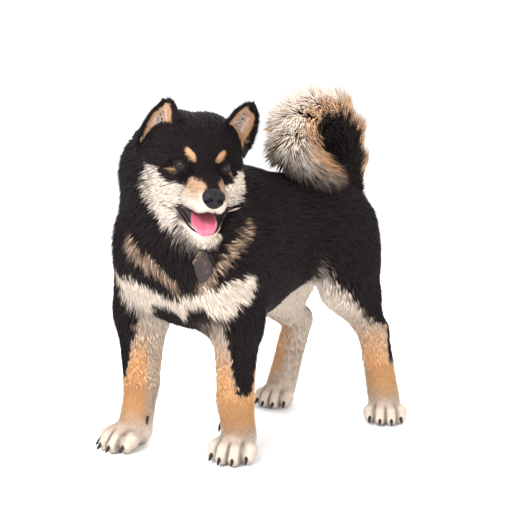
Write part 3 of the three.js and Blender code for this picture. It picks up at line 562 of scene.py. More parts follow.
def chest_marks(p):
    """A cream band over the chest with black patches under it, and two pale stripes up the neck's front."""
    angle, z = chest_angle(p), p[..., 2]
    rough = ripple(p, 17, 1) + 0.7 * ripple(p, 7, 5)
    top, low, right, left = (edge_at(angle, rows) for rows in (BAND_TOP, BAND_LOW, STRIPE_RIGHT, STRIPE_LEFT))
    band = ramp(top - z + 2.2 * rough, -3, 4) * ramp(z - low + 2.4 * rough, -4, 4)
    band = band * ramp(turn_between(angle, 24) + 3 * rough, 72, 62)
    right = ramp(0.7 * np.abs(z - right) + 1.6 * rough, 10, 4) * ramp(angle, -3, 5) * ramp(angle, 44, 38)
    left = ramp(0.62 * np.abs(z - left) + 1.6 * rough, 9, 3.5) * ramp(angle, 50, 56) * ramp(angle, 96, 88)
    stripe = np.maximum(right, left) * (0.8 + 0.3 * ripple(p, 5, 3))
    return 0.34 * stripe + 0.25 * band * ramp(band, 0.95, 0.5), np.maximum(band, 0.24 * stripe)


def toe_crease_shade(p, leg):
    """How deep a point lies in the grooves between a paw's toes, from 0 to 1, used to paint shade into the
    grooves.
    """
    f, l = paw_axes(leg)
    r = (p - leg["paw"]) / leg["size"]
    ahead, aside = r @ f, np.abs(r @ l)
    groove = np.minimum(aside, np.abs(aside - 11.5 - 0.14 * np.maximum(ahead, 0)))
    return ramp(groove, 3.2, 0.6) * ramp(ahead, 4, 13) * ramp(r[..., 2], 31, 24)


def foreleg_marks(p, leg, middle, spread):
    """Cream inside and tan below, with a black wedge down the outer side to above the wrist."""
    angle, z = leg_angle(p, leg), p[..., 2]
    rough = ripple(p, 14, 2) + 0.6 * ripple(p, 6, 7)
    wide = np.interp(z, [92, 100, 140, 180, 215], [0, 0.5 * spread, 0.8 * spread, spread, spread + 8])
    black = ramp(wide - turn_between(angle, middle) + 5 * rough, -6, 6) * ramp(z + 3 * rough, 90, 98)
    inner = ramp(turn_between(angle, middle) + 6 * rough, 95, 125)
    tan = np.interp(z, [24, 42, 60, 125, 175, 215], [0.1, 0.72, 0.95, 0.95, 0.5, 0.15])
    tan = tan * (1 - 0.45 * inner) * (1 - black)
    # painted shade: cream is cut in the grooves between the toes so they go darker
    return tan, (1 - black) * (1 - tan) * (1 - 0.6 * toe_crease_shade(p, leg))


def hindleg_marks(p, leg):
    """Cream inside and along the front edge, tan below the hock, black outside with a streak behind."""
    side, z = leg["side"], p[..., 2]
    knee, hock = leg["knee"], leg["hock"]
    rough = ripple(p, 15, 4) + 0.6 * ripple(p, 6.5, 9)
    front = np.interp(z, [120, 141, 168, 207, 277], [150, 136, 104, 58, 10]) + (knee[1] - 104)
    wide = hock[0] * side
    outer = p[..., 0] * side - np.interp(z, [60, 134, 220, 305], [wide + 4, wide - 2, 66, 52])
    black = ramp(p[..., 1] - front - 24 + 5 * rough, -7, 7) * ramp(outer + 4 * rough, -8, 6)
    black = black * ramp(z - 152 + 0.25 * (p[..., 1] - hock[1]) + 5 * rough, -7, 7)
    streak = ramp(p[..., 1] - hock[1] - 2 + 2 * rough, -2, 6) * ramp(outer + 12, -4, 6) * ramp(z, 84, 100)
    black = np.maximum(np.maximum(black, streak * ramp(z, 190, 160)), ramp(z, 258, 284))
    tan = np.interp(z, [24, 42, 60, 100, 150, 190], [0.1, 0.7, 0.92, 0.95, 0.66, 0.12])
    tan = tan * ramp(outer + 6 * rough, -34, 8) * (1 - black)
    # painted shade: cream is cut in the grooves between the toes so they go darker
    return tan, (1 - black) * (1 - tan) * (1 - 0.6 * toe_crease_shade(p, leg))


def tail_place(p):
    """The nearest place on the tail's line as a share of its length, the line's point, way and inward way."""
    best = np.full(p.shape[:-1], 1e9)
    share, point, way = np.zeros_like(best), np.zeros_like(p), np.zeros_like(p)
    pieces = len(TAIL_LINE) - 1
    for i in range(pieces):
        a, ab = TAIL_LINE[i], TAIL_LINE[i + 1] - TAIL_LINE[i]
        t = np.clip(((p - a) @ ab) / (ab @ ab), 0, 1)
        at = a + t[..., None] * ab
        d = np.linalg.norm(p - at, axis=-1)
        closer = d < best
        best = np.where(closer, d, best)
        share = np.where(closer, (i + t) / pieces, share)
        point = np.where(closer[..., None], at, point)
        way = np.where(closer[..., None], unit(ab), way)
    inward = TAIL_MIDDLE - point
    inward = unit(inward - (inward * way).sum(-1, keepdims=True) * way)
    return share, point, way, inward


def tail_marks(p):
    """Pale outside, with tan on its sides, and black along the side that faces into the curl: partly the
    coat's own black and partly painted shade of the curl's inside.
    """
    share, point, _, inward = tail_place(p)
    facing = (unit(p - point) * inward).sum(-1)
    rough = ripple(p, 16, 6) + 0.6 * ripple(p, 7, 2)
    # partly painted shade: the black reaches round past the inward side to darken the shaded inside of the
    # curl
    black = ramp(facing + 0.16 * rough, -0.2, 0.22) * ramp(share, 1.0, 0.94)
    black = np.maximum(black, ramp(share, 0.12, 0.02) * ramp(facing, -0.6, -0.2))
    tan = ramp(facing + 0.16 * rough, -0.95, -0.35) * 0.74 + 0.12 * ramp(share, 0.7, 0.85)
    grey = 0.9 - 0.22 * ramp(share, 0.55, 0.75) * ramp(p[..., 2], 440, 405)
    dark = 1 - ramp(share, 0.7, 0.92) * (0.42 + 0.4 * ripple(p, 8, 5))
    return tan * (1 - black) * dark, (1 - black) * (1 - tan) * grey * dark


def shares_with_tail(p, width):
    """Each part's share of a point as in part_shares, with the tail's as a last column."""
    return part_shares(np.concatenate([part_fields(p), tail_field(p, TAIL_BONE)[..., None] + 6], -1), width)


def marks_at(p):
    """Tan and cream shares at points, blended from each part's own markings."""
    share = shares_with_tail(p, 7.0)
    tan, cream = np.zeros(p.shape[:-1]), np.zeros(p.shape[:-1])
    x, y, z = p[..., 0], p[..., 1], p[..., 2]
    rump = ramp(y, 196, 214) * ramp(np.abs(x), 46, 30) * ramp(z, 346, 325)
    groin = ramp(y, 20, 60) * ramp(np.abs(x), 62, 44) * ramp(z, 262, 238)
    chest = chest_marks(p)
    parts = [(chest[0], np.maximum(chest[1], np.maximum(rump, groin))), chest, head_marks(p),
             foreleg_marks(p, FORELEGS["left"], 84, 58), foreleg_marks(p, FORELEGS["right"], -38, 84),
             hindleg_marks(p, HINDLEGS["left"]), hindleg_marks(p, HINDLEGS["right"]), tail_marks(p)]
    upper = ramp(z, 195, 222)
    for i, (t, c) in enumerate(parts):
        if i in (3, 4):
            t, c = t * (1 - upper) + chest[0] * upper, c * (1 - upper) + chest[1] * upper
        tan += share[..., i] * t
        cream += share[..., i] * c
    return np.clip(tan, 0, 1), np.clip(cream, 0, 1)


def lie_at(p, n):
    """The way that hair lies at points with normals n: back from the nose, down the neck, along the trunk."""
    share = shares_with_tail(p, 10.0)
    q = in_head(p)
    away = unit(q - vec(96, 0, -24)) + vec(-0.25, 0, -0.1)
    away[..., 2] -= 0.9 * ramp(q[..., 2], -48, -80)
    _, point, way, _ = tail_place(p)
    x, y, z = p[..., 0], p[..., 1], p[..., 2]
    low, breast = ramp(z, 330, 230), ramp(y, -150, -205)
    trunk = np.stack([0 * x, 1.0 - 0.75 * breast, -0.2 - 0.35 * low - 1.2 * breast], -1)
    neck = np.broadcast_to(-0.75 * HEAD[0] * vec(1, 1, 0) + vec(0, 0.25, -0.75), p.shape)
    fore = np.broadcast_to(vec(0, 0.16, -1.0), p.shape)
    hind = np.stack([0 * x, 0.75 * ramp(z, 200, 300) + 0.1, -1 + 0 * x], -1)
    flows = [trunk, neck, away @ HEAD, fore, fore, hind, hind, way + 0.25 * unit(p - point)]
    lie = sum(share[..., i:i + 1] * unit(flow) for i, flow in enumerate(flows))
    return unit(lie - (lie * n).sum(-1, keepdims=True) * n)


# Mesh objects
def to_frame(p):
    return (np.asarray(p, float) + OFFSET) / 1000


def mesh_object(name, points, faces, smooth=True):
    """A mesh object at the origin from points in the dog's millimetres and faces of one size."""
    faces = np.asarray(faces, np.int32)
    mesh = bpy.data.meshes.new(name)
    mesh.vertices.add(len(points))
    mesh.vertices.foreach_set("co", to_frame(points).astype(np.float32).ravel())
    mesh.loops.add(faces.size)
    mesh.loops.foreach_set("vertex_index", faces.ravel())
    mesh.polygons.add(len(faces))
    mesh.polygons.foreach_set("loop_start", np.arange(0, faces.size, faces.shape[1], dtype=np.int32))
    mesh.update(calc_edges=True)
    mesh.polygons.foreach_set("use_smooth", np.full(len(faces), smooth))
    mesh.validate()
    obj = bpy.data.objects.new(name, mesh)
    bpy.context.scene.collection.objects.link(obj)
    return obj


def point_colours(obj, name, values):
    """Stores four numbers a vertex as a colour attribute that materials read."""
    layer = obj.data.attributes.new(name, "FLOAT_COLOR", "POINT")
    layer.data.foreach_set("color", np.asarray(values, np.float32).ravel())


def turns(count):
    """Angles in radians, evenly round a circle."""
    return np.linspace(0, 2 * math.pi, count, endpoint=False)


def rings_round(middle, wide, high, sides):
    """A ring of points round each middle: cos of the angle along wide and sin of it along high."""
    s = turns(sides)[None, :, None]
    return middle[:, None] + np.cos(s) * wide[:, None] + np.sin(s) * high[:, None]


def halves(quads):
    """Each quad's two triangles."""
    return [quads[:, [0, 1, 2]], quads[:, [0, 2, 3]]]


def grid_faces(rows, columns):
    """Quads of a grid of points, row by row, closed round the columns."""
    i, j = np.meshgrid(np.arange(rows - 1), np.arange(columns), indexing="ij")
    k = (j + 1) % columns
    row, after = i * columns, (i + 1) * columns
    return np.stack([row + j, row + k, after + k, after + j], -1).reshape(-1, 4)


def tube_mesh(rings):
    """Points and triangles of a closed tube through rings of points, each end closed by a fan."""
    rings = np.asarray(rings, float)
    rows, sides = rings.shape[:2]
    j = np.arange(sides)
    k = (j + 1) % sides
    start, end, last = rows * sides, rows * sides + 1, (rows - 1) * sides
    faces = np.concatenate([*halves(grid_faces(rows, sides)), np.stack([k, j, np.full(sides, start)], 1),
                            np.stack([last + j, last + k, np.full(sides, end)], 1)])
    points = np.concatenate([rings.reshape(-1, 3), rings[0].mean(0)[None], rings[-1].mean(0)[None]])
    a, b, c = (points[faces[:, i]] for i in range(3))
    volume = np.einsum("ij,ij->", a - points.mean(0), np.cross(b - a, c - a))
    return points, faces[:, ::-1] if volume < 0 else faces


def face_outwards(obj):
    """Turns all faces of a closed piece to point outwards."""
    bm = bmesh.new()
    bm.from_mesh(obj.data)
    bmesh.ops.recalc_face_normals(bm, faces=bm.faces)
    bm.to_mesh(obj.data)
    bm.free()


def finish_piece(obj, material, replaced=()):
    """Gives a piece its material and slot, rides it on the body, and hides the nodes it stands for."""
    obj.data.materials.append(material)
    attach(obj, "root")
    if replaced:
        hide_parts(*replaced)
    return obj


# Shader maths on sockets
class Value:
    """A shader socket that holds a number and can be added to, multiplied and ramped."""

    def __init__(self, tree, socket):
        self.tree, self.socket = tree, socket

    def math(self, operation, other):
        node = self.tree.nodes.new("ShaderNodeMath")
        node.operation = operation
        for socket, value in zip(node.inputs, (self, other)):
            plug(self.tree, socket, value)
        return Value(self.tree, node.outputs[0])

    def __add__(self, other):
        return self.math("ADD", other)

    def __mul__(self, other):
        return self.math("MULTIPLY", other)

    def between(self, low, high):
        """0 at low and 1 at high, smooth between them."""
        node = self.tree.nodes.new("ShaderNodeMapRange")
        node.interpolation_type = "SMOOTHSTEP"
        for socket, value in zip(node.inputs, (self, low, high, 0.0, 1.0)):
            plug(self.tree, socket, value)
        return Value(self.tree, node.outputs[0])


def plug(tree, socket, value):
    if isinstance(value, Value):
        tree.links.new(value.socket, socket)
    elif isinstance(value, (tuple, list)) and len(value) == 3 and socket.type == "RGBA":
        socket.default_value = (*value, 1)
    else:
        socket.default_value = value


class Finish:
    """A material with one Principled shader and a way to add nodes to it."""

    def __init__(self, name, **constants):
        self.material = bpy.data.materials.new(name)
        self.material.use_nodes = True
        self.tree = self.material.node_tree
        self.shader = self.tree.nodes["Principled BSDF"]
        for socket, value in constants.items():
            self.set(socket.replace("_", " "), value)

    def set(self, socket, value):
        names = {s.name.lower(): s for s in self.shader.inputs}
        plug(self.tree, names[socket.lower()], value)

    def node(self, kind, output=0, settings=None, **inputs):
        node = self.tree.nodes.new(kind)
        for key, value in (settings or {}).items():
            setattr(node, key, value)
        for key, value in inputs.items():
            plug(self.tree, node.inputs[key.replace("_", " ")], value)
        return Value(self.tree, node.outputs[output])

    def attribute(self, name):
        """The four numbers of a colour attribute, as three sockets and its alpha."""
        node = self.tree.nodes.new("ShaderNodeAttribute")
        node.attribute_name = name
        split = self.tree.nodes.new("ShaderNodeSeparateColor")
        self.tree.links.new(node.outputs["Color"], split.inputs[0])
        return [Value(self.tree, s) for s in split.outputs] + [Value(self.tree, node.outputs["Alpha"])]

    def place(self):
        return self.node("ShaderNodeTexCoord", "Object")

    def noise(self, scale, detail=4.0, roughness=0.55):
        return self.node("ShaderNodeTexNoise", "Fac", Vector=self.place(), Scale=scale, Detail=detail,
                         Roughness=roughness)

    def cells(self, feature, scale):
        return self.node("ShaderNodeTexVoronoi", "Distance", {"feature": feature}, Vector=self.place(),
                         Scale=scale)

    def blend(self, share, first, second, mode="MIX"):
        node = self.tree.nodes.new("ShaderNodeMix")
        node.data_type, node.blend_type = "RGBA", mode
        plug(self.tree, node.inputs[0], share)
        plug(self.tree, node.inputs[6], first)
        plug(self.tree, node.inputs[7], second)
        return Value(self.tree, node.outputs[2])

    def bump(self, height, distance, strength=1.0):
        self.set("Normal", self.node("ShaderNodeBump", "Normal", Height=height, Distance=distance,
                                     Strength=strength))


# Sizes and colours that a user would change
class ShibaCoat(bpy.types.PropertyGroup):
    """Colours and density of the coat."""

    black: FloatVectorProperty(name="Black", description="Colour of the black coat", subtype="COLOR",
                               default=(0.0085, 0.0052, 0.0055), min=0, max=1)
    # painted sheen: the grey of the black hair's tips stands in for the sheen on a black coat
    sheen_grey: FloatVectorProperty(name="Black tips", description="Colour of the lighter tips of black hair",
                                    subtype="COLOR", default=(0.026, 0.018, 0.0195), min=0, max=1)
    tan: FloatVectorProperty(name="Tan", description="Colour of the tan coat", subtype="COLOR",
                             default=(0.72, 0.37, 0.155), min=0, max=1)
    cream: FloatVectorProperty(name="Cream", description="Colour of the cream coat", subtype="COLOR",
                               default=(0.84, 0.71, 0.595), min=0, max=1)
    spacing: FloatProperty(name="Tuft spacing", description="Distance between the tufts of the body's coat",
                           default=0.0021, min=0.001, max=0.02, subtype="DISTANCE", unit="LENGTH")
    tuft_width: FloatProperty(name="Tuft width", description="Width of a tuft of the body's coat",
                              default=0.0034, min=0.0005, max=0.02, subtype="DISTANCE", unit="LENGTH")
    seed: IntProperty(name="Seed", description="Starts the random draw of the tufts", default=7, min=0)


class ShibaFace(bpy.types.PropertyGroup):
    """Sizes and colours of the eyes, nose, tongue and claws."""

    eye_radius: FloatProperty(name="Eye radius", description="Radius of an eyeball", default=0.010,
                              min=0.004, max=0.02, subtype="DISTANCE", unit="LENGTH")
    iris: FloatVectorProperty(name="Iris", description="Colour of the iris", subtype="COLOR",
                              default=(0.022, 0.010, 0.006), min=0, max=1)
    nose: FloatVectorProperty(name="Nose", description="Colour of the nose", subtype="COLOR",
                              default=(0.009, 0.0075, 0.0085), min=0, max=1)
    tongue: FloatVectorProperty(name="Tongue", description="Colour of the tongue", subtype="COLOR",
                                default=(0.44, 0.066, 0.118), min=0, max=1)
    claw: FloatVectorProperty(name="Claw", description="Colour of the claws", subtype="COLOR",
                              default=(0.018, 0.013, 0.012), min=0, max=1)


class ShibaStudio(bpy.types.PropertyGroup):
    """Camera and light."""

    lens: FloatProperty(name="Lens", description="Focal length on a 36 mm sensor", default=65.95, min=20,
                        max=300)
    light: FloatProperty(name="Key light", description="Power of the main light", default=40.0, min=0,
                         subtype="POWER", unit="POWER")


# Materials
def times(colour, factor):
    return tuple(min(1, factor * c) for c in colour)


def skin_finish():
    """Skin under the coat, in the coat's own colours a little darker, and dark bare skin at lids and lips."""
    coat = bpy.context.scene.shiba_coat
    m = Finish("coat_skin", roughness=0.95, specular_ior_level=0.1)
    tan, cream, bare, _ = m.attribute("marks")
    colour = m.blend(tan, tuple(coat.black), times(coat.tan, 0.85))
    colour = m.blend(cream, colour, times(coat.cream, 0.92))
    colour = m.blend(bare, colour, (0.02, 0.014, 0.014))
    dusty = m.blend(1.0, colour, (0.6, 0.56, 0.54), "MULTIPLY")
    m.set("Base Color", m.blend(m.noise(900.0, 5.0, 0.7) * 0.5, colour, dusty))
    m.bump(m.noise(1400.0, 6.0, 0.7), 0.0012)
    return m.material


def coat_finish():
    """Hair: black, tan or cream by its markings, with painted shade at the root and a painted grey sheen
    towards the tips of black hair, each tuft a little different.
    """
    coat = bpy.context.scene.shiba_coat
    m = Finish("coat_hair", roughness=0.75, specular_ior_level=0.1)
    tan, cream, along, chance = m.attribute("marks")
    # painted sheen: black hair turns grey towards its tips
    black = m.blend(along.between(0.35, 1.0) * chance, tuple(coat.black), tuple(coat.sheen_grey))
    tanned = m.blend(chance, times(coat.tan, 0.82), times(coat.tan, 1.12))
    creamy = m.blend(chance, times(coat.cream, 0.86), times(coat.cream, 1.1))
    colour = m.blend(cream, m.blend(tan, black, tanned), creamy)
    shade = m.blend(along.between(0.0, 0.7), (0.78, 0.75, 0.73), (1.0, 1.0, 1.0))
    m.set("Base Color", m.blend(1.0, colour, shade, "MULTIPLY"))
    return m.material


def eye_finish():
    """Pupil, dark brown iris, its darker edge and the white, by the angle from the eye's look."""
    face = bpy.context.scene.shiba_face
    m = Finish("eye_wet", roughness=0.06, specular_ior_level=0.3)
    angle, _, _, _ = m.attribute("ring")
    iris = m.blend(m.noise(700.0, 3.0), tuple(face.iris), times(face.iris, 2.4))
    colour = m.blend(angle.between(0.30, 0.34), (0.002, 0.002, 0.003), iris)
    colour = m.blend(angle.between(0.60, 0.74), colour, (0.008, 0.005, 0.005))
    m.set("Base Color", m.blend(angle.between(0.9, 1.05), colour, (0.03, 0.018, 0.015)))
    return m.material


def nose_finish():
    face = bpy.context.scene.shiba_face
    m = Finish("nose_pad", roughness=0.42, specular_ior_level=0.12)
    cells = m.cells("SMOOTH_F1", 900.0)
    m.set("Base Color", m.blend(cells, tuple(face.nose), times(face.nose, 1.9)))
    m.set("Roughness", m.noise(300.0) * 0.2 + 0.34)
    m.bump(cells * -1.0, 0.0006, 0.7)
    return m.material


def tongue_finish():
    face = bpy.context.scene.shiba_face
    m = Finish("tongue_wet", roughness=0.32, subsurface_weight=0.25, subsurface_radius=(0.004, 0.0015, 0.001),
               subsurface_scale=1.0, coat_weight=0.4, coat_roughness=0.15)
    grain = m.noise(1100.0, 3.0)
    base = m.blend(m.noise(90.0, 2.0), tuple(face.tongue), (0.52, 0.10, 0.16))
    m.set("Base Color", m.blend(grain * 0.2, base, (0.72, 0.26, 0.33)))
    m.bump(grain, 0.0004, 0.6)
    return m.material


def mouth_finish():
    m = Finish("mouth_lining", roughness=0.6, specular_ior_level=0.1)
    m.set("Base Color", m.blend(m.noise(200.0), (0.010, 0.006, 0.006), (0.035, 0.018, 0.017)))
    m.bump(m.noise(500.0), 0.0004)
    return m.material


def lip_finish():
    m = Finish("lid_and_lip", roughness=0.55, specular_ior_level=0.1)
    m.set("Base Color", m.blend(m.noise(600.0), (0.006, 0.0045, 0.0045), (0.018, 0.013, 0.012)))
    m.bump(m.noise(900.0), 0.0004)
    return m.material


def claw_finish():
    face = bpy.context.scene.shiba_face
    m = Finish("claw_horn", roughness=0.5, specular_ior_level=0.12)
    m.set("Base Color", m.blend(m.noise(420.0, 3.0), tuple(face.claw), times(face.claw, 2.6)))
    m.bump(m.noise(1200.0), 0.0002, 0.5)
    return m.material


def tag_finish():
    """Worn dark brown leather, paler where it rubs."""
    m = Finish("tag_hide", roughness=0.65, specular_ior_level=0.2)
    rubbed, _, _, _ = m.attribute("wear")
    worn = (m.noise(120.0, 5.0) + rubbed * 0.3).between(0.56, 0.9)
    m.set("Base Color", m.blend(worn, (0.030, 0.020, 0.019), (0.15, 0.10, 0.062)))
    m.set("Roughness", worn * 0.2 + 0.45)
    m.bump(m.cells("F1", 700.0), 0.0005, 0.6)
    return m.material


def ear_finish():
    """An ear: dark outside, pinkish skin inside with a tan border, and painted dark shade low in its middle
    near the root.
    """
    coat = bpy.context.scene.shiba_coat
    m = Finish("ear_leather", roughness=0.75, sheen_weight=0.2)
    inner, rim, hollow_shade, _ = m.attribute("marks")
    skin = m.blend(m.noise(160.0), (0.42, 0.26, 0.20), (0.60, 0.42, 0.35))
    skin = m.blend(rim, skin, times(coat.tan, 0.8))
    # painted shade: the deep middle of the ear near its root is darkened to stand in for shade
    skin = m.blend(hollow_shade, skin, (0.07, 0.028, 0.024))
    m.set("Base Color", m.blend(inner, tuple(coat.black), skin))
    m.bump(m.noise(800.0), 0.0006)
    return m.material


MADE = {}


def finish_of(name, maker):
    """One material by name, made once."""
    if name not in MADE:
        MADE[name] = maker()
    return MADE[name]


# The skin
SKIN = {}


def skin_surface():
    """The skin's points, quads and triangles, made once, with closer grid lines round the head."""
    if not SKIN:
        x = spaced((-140, 4.0), (26, 2.1), (182, 4.0), (190, 4.0))
        y = spaced((-262, 2.1), (-92, 4.0), (246, 4.0))
        z = spaced((-3, 3.6), (300, 2.1), (484, 4.0), (512, 4.0))
        points, quads = surface_net(skin_field, x, y, z)
        SKIN.update(points=points, quads=quads, tris=np.concatenate(halves(quads)))
    return SKIN


def skin_normal(p):
    return unit(in_blocks(lambda q: slope_of(skin_field, q), p))


def marks_in_blocks(p):
    return in_blocks(lambda q: np.stack(marks_at(q), -1), p).T


FLESH = ["head", "lower_jaw", "neck", "torso", "tail_root", "tail_curl", "tail_tip"]


class SHIBA_OT_skin(bpy.types.Operator):
    """Makes one skin in place of the frame's flesh, with the coat's markings stored on it"""

    bl_idname = "shiba.skin"
    bl_label = "Skin"

    def execute(self, context):
        skin = skin_surface()
        points = skin["points"]
        obj = mesh_object("skin", points, skin["quads"])
        tan, cream = marks_in_blocks(points)
        q = mirrored(in_head(points))
        eye = eye_distance(q)
        f, a, u = q.T
        mouth = ramp(u, -44, -51) * ramp(u, -76, -68) * ramp(f, 0, 12) * ramp(a, 44, 36)
        bare = np.maximum(ramp(eye, 15.5, 12.5), 0.9 * mouth)
        point_colours(obj, "marks", np.stack([tan, cream, bare, np.ones(len(points))], -1))
        nodes = FLESH + [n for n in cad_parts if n.endswith(("_upper", "_lower", "_paw"))]
        finish_piece(obj, finish_of("skin", skin_finish), nodes)
        return {"FINISHED"}


# The coat
TUFT_SINK, TUFT_FLAT = 1.2, 0.24  # a root's depth in the skin in mm, and thickness over half the width
PATCH, UV_TILES, UV_MARGIN, WAYS = 0.003, 8, 0.03, 6  # a tuft's size in UV, tiles a row, and ways to face
TAIL_REGION, EAR_REGION = 7, 8  # after the columns of part_fields
PLAIN_BELOW = 11  # mm of hair: shorter tufts have no middle ring
PLAIN_TRIANGLES, FULL_TRIANGLES, MOST_TRIANGLES = 4, 10, 190000  # of a tuft, and of a piece


def tuft_places(seed):
    """Roots over the skin: places drawn along the running sum of area times the wanted density."""
    coat = bpy.context.scene.shiba_coat
    skin = skin_surface()
    points, tris = skin["points"], skin["tris"]
    a, b, c = (points[tris[:, i]] for i in range(3))
    normal = np.cross(b - a, c - a)
    area = np.linalg.norm(normal, axis=1) / 2
    middle = (a + b + c) / 3
    d = part_fields(middle)
    length = coat_length(middle, d)
    spacing = coat.spacing * 1000 * (0.46 + 0.54 * ramp(length, 3, 24))  # closer where the hair is short
    tail = tail_field(middle, TAIL_BONE) < joined_fields(d) + coat_depth(length)
    spacing = np.where(tail, 0.82 * coat.spacing * 1000, spacing)
    q = mirrored(in_head(middle))
    f, aside, up = q.T
    eye = eye_distance(q)
    lid = (lid_cut(q) < 1.8) & (eye < 15) | (eye <= 10.6)
    inside = (up < -46) & (up > -76) & (f > 2) & (aside < 32 - 0.3 * f)
    nose = np.linalg.norm(q - NOSE_AT, axis=-1) < 15
    lips = np.concatenate([lip_line(rows, side)
                           for rows in (UPPER_LIP, LOWER_LIP, MOUTH_LINE) for side in (1, -1)])
    near = np.flatnonzero((np.abs(up + 60) < 26) & (f > -4) & (aside < 52))
    bare = np.zeros(len(q), bool)
    bare[near] = (np.linalg.norm(middle[near, None] - lips[None], axis=-1) < 2.6).any(1)
    open_skin = (middle[:, 2] > 2.5) & ~(lid | inside | nose | bare)
    order = np.lexsort((middle[:, 0] // 8, middle[:, 1] // 8, middle[:, 2] // 8))
    total = np.cumsum((area * open_skin / spacing**2)[order])
    rng = np.random.default_rng(seed)
    count = int(total[-1])
    at = np.searchsorted(total, np.arange(count) + rng.random(count))
    pick = order[np.minimum(at, len(order) - 1)]
    u, v = np.sqrt(rng.random(count)), rng.random(count)
    root = (1 - u)[:, None] * a[pick] + (u * (1 - v))[:, None] * b[pick] + (u * v)[:, None] * c[pick]
    return root, tail[pick], rng


def tuft_shapes(root, on_tail, rng):
    """Each tuft's middle and tip: along the lie at a low angle, then set at its own height over the skin."""
    n = skin_normal(root)
    d = part_fields(root)
    length = coat_length(root, d)
    share, _, _, inward = tail_place(root)
    plume = np.interp(share, np.linspace(0, 1, len(TAIL_RADII)), TAIL_RADII - np.append(TAIL_BONE, 0))
    radius = (0.9 + 0.24 * ramp((n * inward).sum(-1), 0.1, 0.7)) * plume
    height = coat_depth(length)
    length = np.where(on_tail, 20 + 0.95 * radius, length)
    height = np.where(on_tail, radius, height)
    lie = lie_at(root, n)
    side = np.cross(n, lie)
    clump = 0.20 * ripple(root, 26, 1) + 0.16 * ripple(root, 11, 4)
    stray = rng.normal(0, 0.13, len(root))
    swing = (clump + stray) * (0.4 + 0.6 * ramp(length, 8, 26)) * np.where(on_tail, 0.7, 1)
    lie = unit(lie * np.cos(swing)[:, None] + side * np.sin(swing)[:, None])
    vary = 0.82 + 0.36 * rng.random(len(root))
    reach = length * vary
    tall = height * (0.72 + 0.38 * rng.random(len(root)) + 0.10 * ripple(root, 14, 2))
    run = np.sqrt(np.maximum(reach**2 - tall**2, (0.4 * reach) ** 2))
    middle = root + lie * (0.48 * run)[:, None] + n * (0.62 * tall)[:, None]
    tip = root + lie * run[:, None] + n * tall[:, None]
    middle += n * np.clip(0.62 * tall - in_blocks(skin_field, middle), -6, 6)[:, None]
    lift = np.where(on_tail, 0, np.clip(tall - in_blocks(skin_field, tip), -12, 9))
    tip += n * lift[:, None]
    over = tall - in_blocks(skin_field, tip)
    far = np.flatnonzero((np.abs(over) > 1.0) & ~on_tail)
    tip[far] += skin_normal(tip[far]) * np.clip(over[far], -9, 6)[:, None]
    tip[:, 2] = np.maximum(tip[:, 2], 1.0)
    middle[:, 2] = np.maximum(middle[:, 2], 1.0)
    return n, lie, middle, tip, reach


def patch_uv(root, n, region):
    """Where a tuft's root lies on an unwrap of the skin: one tile for each part and each way it faces."""
    way = np.argmax(np.abs(n), 1)
    facing = way * 2 + (n[np.arange(len(n)), way] > 0)
    columns = np.array([[1, 2], [0, 2], [0, 1]])[way]
    q = np.take_along_axis(root, columns, 1)
    low, high = np.array([-150, -262, 0.0]), np.array([190, 262, 540.0])
    q = (q - low[columns]) / (high - low)[columns]
    tile = region * WAYS + facing
    corner = np.stack([tile % UV_TILES, tile // UV_TILES], -1)
    return (corner + UV_MARGIN + (1 - 2 * UV_MARGIN) * q) / UV_TILES


def tuft_mesh(name, n, lie, root, middle, tip, width, marks, uv, plain):
    """Tufts as one mesh: a root ring, a middle ring unless plain, and a tip, each closed and pointing out."""
    side = unit(np.cross(lie, n))
    w = (width / 2)[:, None]
    foot = root - n * TUFT_SINK
    ring0 = np.stack([foot + side * w * 0.7, foot - side * w * 0.7, foot + n * w * TUFT_FLAT * 1.2], 1)
    bend = unit(tip - root)
    top = unit(np.cross(side, bend))
    top = np.where(((top * n).sum(-1) < 0)[:, None], -top, top)
    if plain:
        rings = [ring0, tip[:, None]]
        tris = [[0, 2, 1], [0, 3, 2], [1, 3, 0], [2, 3, 1]]
        along = [0.15, 0.15, 0.15, 1]
    else:
        ring1 = np.stack([middle + side * w, middle - side * w, middle + top * w * TUFT_FLAT * 2.2], 1)
        rings = [ring0, ring1, tip[:, None]]
        tris = [[0, 2, 1], [0, 3, 5], [0, 5, 2], [2, 5, 4], [2, 4, 1], [1, 4, 3], [1, 3, 0],
                [3, 6, 5], [5, 6, 4], [4, 6, 3]]
        along = [0, 0, 0, 0.5, 0.5, 0.5, 1]
    points = np.concatenate(rings, 1)
    per, tris = points.shape[1], np.array(tris)
    a, b, c = (points[0, tris[:, i]] for i in range(3))
    if np.einsum("ij,ij->", a - points[0].mean(0), np.cross(b - a, c - a)) < 0:
        tris = tris[:, ::-1]
    faces = (np.arange(len(points))[:, None, None] * per + tris).reshape(-1, 3)
    obj = mesh_object(name, points.reshape(-1, 3), faces)
    tan, cream, chance = marks
    colours = np.broadcast_arrays(tan[:, None], cream[:, None], np.array(along)[None], chance[:, None])
    point_colours(obj, "marks", np.stack(colours, -1).reshape(-1, 4))
    corner = np.array([(0, 0), (1, 0), (0.5, 0.4), (0, 0.5), (1, 0.5), (0.5, 0.9), (0.5, 1)])
    corner = corner[[0, 1, 2, 6]] if plain else corner
    spots = (uv[:, None] + (corner[None] - 0.5) * PATCH).reshape(-1, 2)
    layer = obj.data.uv_layers.new(name="OFBake")
    layer.data.foreach_set("uv", spots[faces.ravel()].astype(np.float32).ravel())
    return obj


